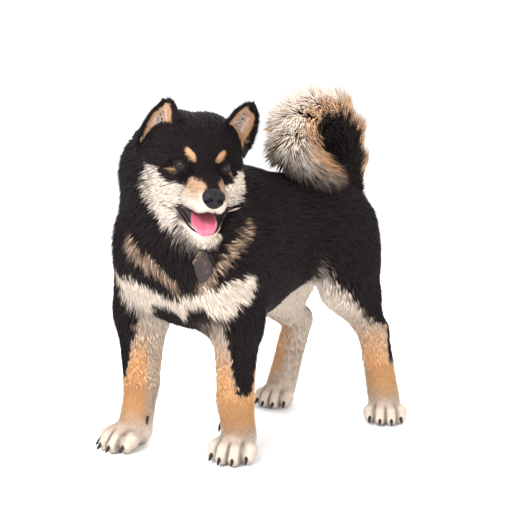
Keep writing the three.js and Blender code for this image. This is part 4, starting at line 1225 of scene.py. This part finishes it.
class SHIBA_OT_coat(bpy.types.Operator):
    """Covers the skin with tufts of hair that follow its lie, as a few joined meshes"""

    bl_idname = "shiba.coat"
    bl_label = "Coat"

    def execute(self, context):
        coat = context.scene.shiba_coat
        root, on_tail, rng = tuft_places(coat.seed)
        n, lie, middle, tip, length = tuft_shapes(root, on_tail, rng)
        tan, cream = marks_in_blocks(0.45 * root + 0.55 * tip)
        chance = rng.random(len(root))
        mixed = np.where(on_tail, 0.8, 1.8) * (rng.random(len(root)) - 0.5)
        tan, cream = (np.clip(m + mixed * m * (1 - m), 0, 1) for m in (tan, cream))
        fleck = np.where(on_tail & (rng.random(len(root)) < 0.05), 0.35, 1.0)
        tan, cream = tan * fleck, cream * fleck
        width = coat.tuft_width * 1000 * (0.30 + 0.70 * ramp(length, 3, 24))
        width = width * (0.75 + 0.5 * rng.random(len(root)))
        region = np.where(on_tail, TAIL_REGION, np.argmin(part_fields(root), 1))
        plain = (length < PLAIN_BELOW) & ~on_tail
        uv = patch_uv(root, n, region)
        for i, part in enumerate([*PARTS, "tail"]):
            for short in (False, True):
                chosen = np.flatnonzero((region == i) & (plain == short))
                if not len(chosen):
                    continue
                chosen = chosen[np.argsort(root[chosen, 1], kind="stable")]
                each = PLAIN_TRIANGLES if short else FULL_TRIANGLES
                pieces = math.ceil(len(chosen) * each / MOST_TRIANGLES)
                for k, c in enumerate(np.array_split(chosen, pieces)):
                    name = f"coat_{part}_{'short' if short else 'long'}"
                    name += f"_{k + 1}" if pieces > 1 else ""
                    obj = tuft_mesh(name, n[c], lie[c], root[c], middle[c], tip[c], width[c],
                                    (tan[c], cream[c], chance[c]), uv[c], short)
                    finish_piece(obj, finish_of("coat", coat_finish))
        return {"FINISHED"}


# The face
def ball_mesh(rows, columns, radius, centre, axis, bulge):
    """A ball round its axis: radius times cos and sin of the polar angle, with a raised clear front."""
    polar = np.linspace(0.02, math.pi - 0.02, rows)[:, None]
    turn = turns(columns)[None]
    r = radius * (1 + bulge * np.exp(-(polar / 0.55) ** 2))
    across = unit(np.cross(axis, vec(0.3, 0.2, 1)))
    other = np.cross(axis, across)
    ring = r * np.sin(polar)
    points = (centre + (r * np.cos(polar))[..., None] * axis + (ring * np.cos(turn))[..., None] * across
              + (ring * np.sin(turn))[..., None] * other)
    return points, np.broadcast_to(polar, points.shape[:2])


def lid_ring(side, count=48, sides=10):
    """A soft rim along the almond of the lids: a tube that thins to the corners of the eye."""
    out, across, up = eye_axes(side)
    t = turns(count)
    centre = vec(0, side * EYE_SPREAD, EYE_RISE)
    b = 8.5 * np.cos(t)
    arch = 1 - np.cos(t) ** 2
    c = np.where(np.sin(t) > 0, 4.0 * arch + 0.3, -3.3 * arch - 0.3)
    a = np.sqrt(np.maximum(10.35**2 - b**2 - c**2, 1)) + 0.15
    middle = centre + a[:, None] * out + b[:, None] * across + c[:, None] * up
    way = unit(np.roll(middle, -1, 0) - np.roll(middle, 1, 0))
    high = unit(middle - centre)
    wide = np.cross(way, high)
    r = 0.85 + 0.35 * np.abs(np.sin(t))[:, None]
    ring = rings_round(middle, r * wide, 0.8 * r * high, sides)
    return from_head(ring.reshape(-1, 3)), grid_faces(count + 1, sides) % (count * sides)


class SHIBA_OT_eyes(bpy.types.Operator):
    """Makes the eyeballs with iris and pupil, and the dark rims of their lids"""

    bl_idname = "shiba.eyes"
    bl_label = "Eyes"

    def execute(self, context):
        radius = context.scene.shiba_face.eye_radius * 1000
        for side, name in ((1, "left"), (-1, "right")):
            out, _, _ = eye_axes(side)
            centre = head_point(0, side * EYE_SPREAD, EYE_RISE)
            look = unit(vec(0.93, side * 0.33, 0.02)) @ HEAD
            rings, polar = ball_mesh(40, 48, radius, centre, look, 0.05)
            points, faces = tube_mesh(rings)
            eye = mesh_object("eyeball_" + name, points, faces)
            ring = np.append(polar.ravel(), [0.0, math.pi])
            point_colours(eye, "ring", np.stack([ring, ring, ring, ring], -1))
            finish_piece(eye, finish_of("eye", eye_finish), ["eye_" + name])
            rim = mesh_object("lid_rim_" + name, *lid_ring(side))
            face_outwards(rim)
            finish_piece(rim, finish_of("lip", lip_finish))
        return {"FINISHED"}


NOSE_AT = vec(79, 0, -27)


def nose_field(p):
    """The nose: rounded pads joined, a soft groove down the middle, and comma-shaped nostrils cut in."""
    q = mirrored(in_head(p))
    d = soft_min(ellipsoid(q, NOSE_AT + vec(-3, 0, 2), (10, 14, 9.5)),
                 ellipsoid(q, NOSE_AT + vec(1, 5, -1), (8, 8, 8.5)), 5)
    d = soft_min(d, ellipsoid(q, NOSE_AT + vec(0, 0, -7), (7, 7, 6)), 5)
    d = soft_max(d, -ellipsoid(q, NOSE_AT + vec(9.5, 5.6, -1.5), (5.5, 3.0, 2.7)), 1.6)
    d = soft_max(d, -ellipsoid(q, NOSE_AT + vec(5.5, 11, -3.6), (6, 4, 1.6)), 1.4)
    return soft_max(d, -cone(q, NOSE_AT + vec(11, 0, 0), NOSE_AT + vec(7, 0, -14), 1.0, 1.4), 1.4)


class SHIBA_OT_nose(bpy.types.Operator):
    """Makes the nose pad with its nostrils"""

    bl_idname = "shiba.nose"
    bl_label = "Nose"

    def execute(self, context):
        centre = from_head(NOSE_AT)
        x, y, z = (spaced((c - 24, 0.9), (c + 24, 0.9)) for c in centre)
        points, quads = surface_net(nose_field, x, y, z)
        nose = mesh_object("nose_pad", points, quads)
        finish_piece(nose, finish_of("nose", nose_finish), ["nose"])
        return {"FINISHED"}


TONGUE = [(6, -56, 11, 3.5), (22, -59.5, 14, 4), (38, -63, 16, 4.2), (52, -66, 16.5, 4.2),
          (61, -69, 15, 4), (66, -73, 11.5, 3.4), (67.5, -77.5, 5.5, 2.2)]


def tongue_rings(rows=40, sides=36):
    """The tongue: rounded sections carried forward and over the lip, with a groove along the middle."""
    t = np.linspace(0, 1, rows)
    knots = np.linspace(0, 1, len(TONGUE))
    f, u, half, thick = smooth_rows(np.column_stack([knots, TONGUE]), t).T
    df, du = np.gradient(f, t), np.gradient(u, t)
    size = np.hypot(df, du)
    end = np.sqrt(np.clip((1 - t) / 0.12, 0, 1))
    a = turns(sides)
    side = (half * (0.35 + 0.65 * end))[:, None] * np.cos(a)
    shift = -4.0 * ramp(t, 0.1, 0.7)[:, None]
    groove = 1 - 0.45 * np.maximum(np.sin(a), 0) * np.exp(-(np.cos(a) / 0.22) ** 2)
    up = (thick * (0.3 + 0.7 * end))[:, None] * np.sin(a) * groove + 0.006 * side**2
    q = np.stack([f[:, None] - (du / size)[:, None] * up, side + shift,
                  u[:, None] + (df / size)[:, None] * up], -1)
    return from_head(q)


def lip_band(middle, radius, sides=8):
    """A soft rounded band through places, thin at both ends."""
    t = np.linspace(0, 1, len(middle))
    way = unit(np.gradient(middle, axis=0))
    wide = unit(np.cross(way, HEAD[2]))
    high = np.cross(wide, way)
    r = radius * (0.25 + 0.75 * np.sin(np.pi * np.clip(0.08 + 0.9 * t, 0, 1)))[:, None]
    return rings_round(middle, r * wide, r * high, sides)


UPPER_LIP = [(0, 46, -48), (12, 35, -51), (28, 26, -52), (44, 20, -52), (60, 13, -50), (71, 4, -46)]
LOWER_LIP = [(0, 46, -49), (12, 35, -56), (23, 25, -66), (36, 20, -72), (49, 14.5, -75), (58, 8, -76),
             (61, 1, -76)]
MOUTH_LINE = [(1, 45, -49), (12, 35, -54), (26, 25, -61), (38, 20, -66)]


def lip_line(rows, side, steps=40, proud=0.8):
    """Places along a lip from rows in the head's own axes, drawn on to the skin and a little over it."""
    knots = np.linspace(0, 1, len(rows))
    p = from_head(smooth_rows(np.column_stack([knots, rows]), np.linspace(0, 1, steps)) * vec(1, side, 1))
    for _ in range(3):
        p = stepped(skin_field, p, proud, 3)
    return p


class SHIBA_OT_mouth(bpy.types.Operator):
    """Makes the tongue, the dark edges of the lips and the dark line at the back of the mouth"""

    bl_idname = "shiba.mouth"
    bl_label = "Mouth"

    def execute(self, context):
        tongue = mesh_object("tongue_soft", *tube_mesh(tongue_rings()))
        finish_piece(tongue, finish_of("tongue", tongue_finish), ["tongue"])
        for side, name in ((1, "left"), (-1, "right")):
            for rows, radius, which in ((UPPER_LIP, 1.0, "upper"), (LOWER_LIP, 1.3, "lower")):
                lip = mesh_object(f"lip_{which}_{name}", *tube_mesh(lip_band(lip_line(rows, side), radius)))
                finish_piece(lip, finish_of("lip", lip_finish))
            line = lip_band(lip_line(MOUTH_LINE, side, proud=-1.0), 2.6)
            corner = mesh_object("mouth_" + name, *tube_mesh(line))
            finish_piece(corner, finish_of("mouth", mouth_finish))
        return {"FINISHED"}


# Ears
EARS = {
    1: dict(inner=vec(-25, 28, 50), outer=vec(-58, 77, 14), tip=vec(-15, 67, 84)),
    -1: dict(inner=vec(-20, -33, 49), outer=vec(-48, -84, 7), tip=vec(-17, -56, 79)),
}
EAR_THICK, EAR_CUP, EAR_INSET, EAR_SEED = 3.4, 13.0, 0.93, 21


def ear_place(side, u, t, behind):
    """A place on an ear: u from inner to outer edge, t from root to tip, on the front or the back.

    The edges bulge by (1 - t^1.9)^0.6, and the middle lies behind them by a cup times (1 - u^2).
    """
    ear = EARS[side]
    foot, across = (ear["inner"] + ear["outer"]) / 2, (ear["outer"] - ear["inner"]) / 2
    rise = ear["tip"] - foot
    front = unit(np.cross(across, rise)) * side
    up = np.clip(t, 0, 1)
    half = EAR_INSET * np.maximum(1 - up**1.9, 1e-4) ** 0.6
    cup = EAR_CUP * (1 - u**2) * (1 - 0.7 * up)
    thick = EAR_THICK / 2 * (0.3 + 0.7 * np.sqrt(np.clip(1 - u**2, 0, 1))) * (1 - 0.4 * up)
    place = foot + (u * half)[:, None] * across + (EAR_INSET * t)[:, None] * rise
    return place + front * (-cup + np.where(behind, -thick, thick))[:, None], front


def ear_rings(side, rows=40, columns=30):
    """The ear as a closed tube: each ring runs over the front from edge to edge and back behind."""
    u = np.linspace(-1, 1, columns)
    u, behind = np.concatenate([u, u[::-1]]), np.arange(2 * columns) >= columns
    rings, marks = [], []
    for t in np.append(np.linspace(-0.3, 0.96, rows), [0.98, 0.995, 1.0]):
        rings.append(ear_place(side, u, np.full(2 * columns, t), behind)[0])
        edge = np.abs(u) + 0.03 * np.sin(9 * t)
        black = ramp(edge, 0.62, 0.74) + ramp(t, 0.70, 0.80) + behind
        rim = ramp(edge, 0.36, 0.56) + ramp(t, 0.54, 0.68) + ramp(t, 0.12, 0.0)
        # painted shade: a mask that darkens the deep middle of the ear near its root, where shade falls
        hollow_shade = ramp(t, 0.86, 0.5) * ramp(np.abs(u + 0.12), 0.40, 0.1)
        marks.append(np.stack([1 - np.clip(black, 0, 1), np.clip(rim, 0, 1), hollow_shade, np.ones_like(u)], -1))
    return np.array(rings), np.array(marks)


def ear_tufts(side, rng):
    """Roots, ways and sizes of the hair on an ear: black behind and on its edges, tan within them."""
    sets = []
    for count, behind, low, high, length, tan, cream in (
            (3600, True, (-1.0, -0.1), (1.0, 0.99), 7.0, 0.0, 0.0),
            (1500, False, (-1.0, -0.05), (-0.66, 0.9), 6.5, 0.0, 0.0),
            (1500, False, (0.66, -0.05), (1.0, 0.9), 6.5, 0.0, 0.0),
            (1100, False, (-0.9, 0.72), (0.9, 0.98), 6.0, 0.0, 0.0),
            (520, False, (-0.68, 0.0), (-0.44, 0.72), 7.0, 0.66, 0.16),
            (520, False, (0.40, 0.0), (0.66, 0.72), 7.0, 0.66, 0.16),
            (260, False, (-0.5, 0.56), (0.5, 0.7), 6.0, 0.6, 0.25),
            (500, False, (-0.7, -0.05), (0.75, 0.1), 8.0, 0.6, 0.2),
            (240, False, (-0.5, 0.1), (0.5, 0.5), 8.0, 0.3, 0.7)):
        u = rng.uniform(low[0], high[0], count)
        t = rng.uniform(low[1], high[1], count)
        back = np.full(count, behind)
        place, front = ear_place(side, u, t, back)
        rise = unit(ear_place(side, u, t + 0.02, back)[0] - place)
        outward = unit(ear_place(side, u * 1.02 + 0.001 * np.sign(u), t, back)[0] - place)
        n = np.broadcast_to(-front if behind else front, place.shape)
        lean = np.where(np.abs(u) > 0.64, 0.4, -0.25)[:, None]
        lie = unit(rise + lean * outward + 0.18 * rng.normal(size=(count, 3)))
        size = length * (0.75 + 0.45 * rng.random(count)) * np.where(t > 0.85, 0.4, 1)
        sets.append((place, n, lie, size, np.full(count, tan), np.full(count, cream)))
    out = [np.concatenate(parts) for parts in zip(*sets)]
    out[0] = from_head(out[0])
    out[1], out[2] = out[1] @ HEAD, out[2] @ HEAD
    return out


class SHIBA_OT_ears(bpy.types.Operator):
    """Makes the cupped ears and the short hair on them"""

    bl_idname = "shiba.ears"
    bl_label = "Ears"

    def execute(self, context):
        rng = np.random.default_rng(EAR_SEED)
        for side, name in ((1, "left"), (-1, "right")):
            rings, marks = ear_rings(side)
            ear = mesh_object("ear_shell_" + name, *tube_mesh(from_head(rings)))
            ends = np.stack([marks[0].mean(0), marks[-1].mean(0)])
            point_colours(ear, "marks", np.concatenate([marks.reshape(-1, 4), ends]))
            finish_piece(ear, finish_of("ear", ear_finish), ["ear_" + name])
            root, n, lie, size, tan, cream = ear_tufts(side, rng)
            tip = root + lie * (0.95 * size)[:, None] + n * (0.22 * size)[:, None]
            width = 1.5 * (0.8 + 0.4 * rng.random(len(root)))
            uv = patch_uv(root, n, np.full(len(root), EAR_REGION))
            hair = tuft_mesh("coat_ear_" + name, n, lie, root, tip, tip, width,
                             (tan, cream, rng.random(len(root))), uv, True)
            finish_piece(hair, finish_of("coat", coat_finish))
        return {"FINISHED"}


# Claws
def claw_rings(root, way, size, rows=12, sides=14):
    """A claw: rings that shrink along a downward bend, deeper than wide."""
    t = np.linspace(-0.5, 1, rows)
    side = unit(np.cross(way, UP))
    out = np.cross(side, way)
    r = 3.0 * size * np.sqrt(np.clip(1 - np.maximum(t, 0) ** 1.6, 0.004, 1))
    length, bend = 9.5 * size, 0.28 * np.maximum(t, 0) ** 2
    middle = root + (length * t)[:, None] * way - (length * bend)[:, None] * out
    return rings_round(middle, 0.78 * r[:, None] * side, r[:, None] * out, sides)


class SHIBA_OT_claws(bpy.types.Operator):
    """Makes every claw and dewclaw in place of the frame's plain ones"""

    bl_idname = "shiba.claws"
    bl_label = "Claws"

    def execute(self, context):
        for name, leg in LEGS.items():
            f, l = paw_axes(leg)
            size = leg["size"]
            for i, (root_side, tip_side, reach, _) in enumerate(TOES):
                way = unit(f + 0.03 * (tip_side - root_side) * l - 0.42 * UP / size)
                rings = claw_rings(paw_place(leg, reach + 5.5, tip_side, 10.5), way, size)
                claw = mesh_object(f"claw_{name}_{i + 1}", *tube_mesh(rings))
                finish_piece(claw, finish_of("claw", claw_finish), [f"{name}_claw_{i + 1}"])
            if name.startswith("front"):
                inner = -leg["side"]
                root = 0.28 * leg["wrist"] + 0.72 * paw_back(leg) + l * inner * 26 + 3 * f
                way = unit(0.5 * f + 0.25 * inner * l - 0.9 * UP)
                claw = mesh_object(f"claw_{name}_dew", *tube_mesh(claw_rings(root, way, 0.88)))
                finish_piece(claw, finish_of("claw", claw_finish), [name + "_dewclaw"])
        return {"FINISHED"}


# The tag at the throat
TAG = dict(at=vec(111, -184, 283), high=41.0, wide=27.0, thick=4.5)
# Corners of the outline, as shares of the width and the height
TAG_CORNERS = [(0, 0.5), (0.2, 0.42), (0.29, 0.2), (0.46, -0.02), (0.44, -0.14), (0.28, -0.36), (0.16, -0.5),
               (-0.16, -0.5), (-0.27, -0.3), (-0.4, -0.04), (-0.5, 0.12), (-0.35, 0.24), (-0.2, 0.43)]
# Rings from the back to the face, with its raised border: size, and height as a share of the thickness
TAG_RINGS = [(1.0, 0), (1.0, 0.55), (0.97, 0.85), (0.90, 1), (0.84, 0.96), (0.80, 0.8), (0.76, 0.8),
             (0.4, 0.95)]


def tag_outline(count=64):
    """The tag's outline, rounded above and waisted below, by a radius at each angle round its middle."""
    x, y = np.transpose(TAG_CORNERS) * [[TAG["wide"]], [TAG["high"]]]
    angle = np.arctan2(x, y) % (2 * math.pi)
    order = np.argsort(angle)
    a = turns(count)
    r = np.interp(a, angle[order], np.hypot(x, y)[order], period=2 * math.pi)
    r = (np.roll(r, 1) + 2 * r + np.roll(r, -1)) / 4
    return np.stack([r * np.sin(a), r * np.cos(a)], -1)


class SHIBA_OT_tag(bpy.types.Operator):
    """Makes the leather tag that hangs at the throat"""

    bl_idname = "shiba.tag"
    bl_label = "Tag"

    def execute(self, context):
        at = TAG["at"]
        out = unit(slope_of(lambda p: joined_fields(part_fields(p)), at[None], 1.0)[0])
        side = unit(np.cross(UP, out))
        rise = np.cross(out, side)
        flat = tag_outline()
        outline = flat[:, :1] * side + flat[:, 1:] * rise
        rings = [at + 0.97 * outline - 6.8 * out]
        rings += [at + size * outline + (TAG["thick"] * depth - 0.8) * out for size, depth in TAG_RINGS]
        points, faces = tube_mesh(rings)
        tag = mesh_object("tag_plate", points, faces)
        wear = ramp((points - at) @ rise / TAG["high"] - (points - at) @ side / TAG["wide"], 0.2, 0.8)
        point_colours(tag, "wear", np.repeat(wear[:, None], 4, 1))
        finish_piece(tag, finish_of("tag", tag_finish), ["tag"])
        return {"FINISHED"}


# The studio
CAMERA_AZIMUTH, CAMERA_ELEVATION, CAMERA_DISTANCE = 50.0, 8.0, 1400.0
CAMERA_SIDE, CAMERA_HEIGHT = -2.0, 267.0
FLOOR_REACH = 4000.0
WORLD_LIGHT = 1.04


def camera_axes():
    """Rows: to the picture's right, up in the picture, and back towards the camera."""
    a, e = math.radians(CAMERA_AZIMUTH), math.radians(CAMERA_ELEVATION)
    back = vec(math.sin(a) * math.cos(e), -math.cos(a) * math.cos(e), math.sin(e))
    right = vec(math.cos(a), math.sin(a), 0)
    return np.stack([right, np.cross(back, right), back])


def put(name, data, place, axes):
    """Links an object for a camera or a light at a place, with rows of its right, up and back directions."""
    matrix = np.eye(4)
    matrix[:3, :3], matrix[:3, 3] = axes.T, to_frame(place)
    obj = bpy.data.objects.new(name, data)
    obj.matrix_world = Matrix(matrix.tolist())
    bpy.context.scene.collection.objects.link(obj)
    return obj


def add_light(name, place, target, size, power, colour):
    data = bpy.data.lights.new(name, "AREA")
    data.energy, data.size, data.color = power, size, colour
    back = unit(place - target)
    right = unit(np.cross(UP, back))
    put(name, data, place, np.stack([right, np.cross(back, right), back]))


class SHIBA_OT_studio(bpy.types.Operator):
    """Places the camera, the pale floor and the soft studio lights"""

    bl_idname = "shiba.studio"
    bl_label = "Studio"

    def execute(self, context):
        scene = context.scene
        axes = camera_axes()
        camera = bpy.data.cameras.new("camera")
        camera.lens, camera.sensor_width = scene.shiba_studio.lens, 36
        place = vec(0, 0, CAMERA_HEIGHT) + CAMERA_SIDE * axes[0] + CAMERA_DISTANCE * axes[2]
        scene.camera = put("camera", camera, place, axes)
        corners = [(x * FLOOR_REACH, y * FLOOR_REACH, 0) for x, y in ((-1, -1), (1, -1), (1, 1), (-1, 1))]
        floor = mesh_object("floor", corners, [(0, 1, 2, 3)], smooth=False)
        m = Finish("studio_floor", roughness=0.9)
        m.set("Base Color", m.blend(m.noise(3.0), (0.96, 0.96, 0.96), (0.97, 0.97, 0.97)))
        floor.data.materials.append(m.material)
        world = bpy.data.worlds.new("studio_world")
        world.use_nodes = True
        background = world.node_tree.nodes["Background"].inputs
        background[0].default_value, background[1].default_value = (1.0, 1.0, 1.0, 1), WORLD_LIGHT
        scene.world = world
        scene.view_settings.view_transform = "Standard"
        power = scene.shiba_studio.light
        middle = vec(20, -40, 300)
        add_light("key", middle + vec(400, -1500, 1300), middle, 0.6, power, (0.94, 0.97, 1))
        add_light("fill", middle + vec(1700, -300, 500), middle, 1.6, 0.45 * power, (1, 0.98, 0.95))
        window = EYE_MID + 1700 * vec(0.45, -0.81, 0.375)
        add_light("window", window, EYE_MID, 0.9, 0.36 * power, (0.78, 0.88, 1))
        add_light("rim", middle + vec(-900, 1200, 1100), middle, 1.2, 0.6 * power, (0.95, 0.97, 1))
        return {"FINISHED"}


class SHIBA_PT_panel(bpy.types.Panel):
    """Lists the steps that build the dog, with its sizes and colours"""

    bl_label = "Shiba inu"
    bl_space_type = "VIEW_3D"
    bl_region_type = "UI"
    bl_category = "Shiba"

    def draw(self, context):
        for group in (context.scene.shiba_coat, context.scene.shiba_face, context.scene.shiba_studio):
            column = self.layout.column()
            for name in group.__annotations__:
                column.prop(group, name)
        for operator in OPERATORS:
            self.layout.operator(operator.bl_idname)


GROUPS = {"shiba_coat": ShibaCoat, "shiba_face": ShibaFace, "shiba_studio": ShibaStudio}
OPERATORS = [SHIBA_OT_studio, SHIBA_OT_skin, SHIBA_OT_coat, SHIBA_OT_eyes, SHIBA_OT_nose, SHIBA_OT_mouth,
             SHIBA_OT_ears, SHIBA_OT_claws, SHIBA_OT_tag]


def register():
    for cls in (*GROUPS.values(), *OPERATORS, SHIBA_PT_panel):
        bpy.utils.register_class(cls)
    for name, group in GROUPS.items():
        setattr(bpy.types.Scene, name, PointerProperty(type=group))


def unregister():
    for name in GROUPS:
        delattr(bpy.types.Scene, name)
    for cls in reversed((*GROUPS.values(), *OPERATORS, SHIBA_PT_panel)):
        bpy.utils.unregister_class(cls)


def main():
    register()
    for operator in ("studio", "skin", "coat", "eyes", "nose", "mouth", "ears", "claws", "tag"):
        getattr(bpy.ops.shiba, operator)()


if __name__ == "__main__":
    main()
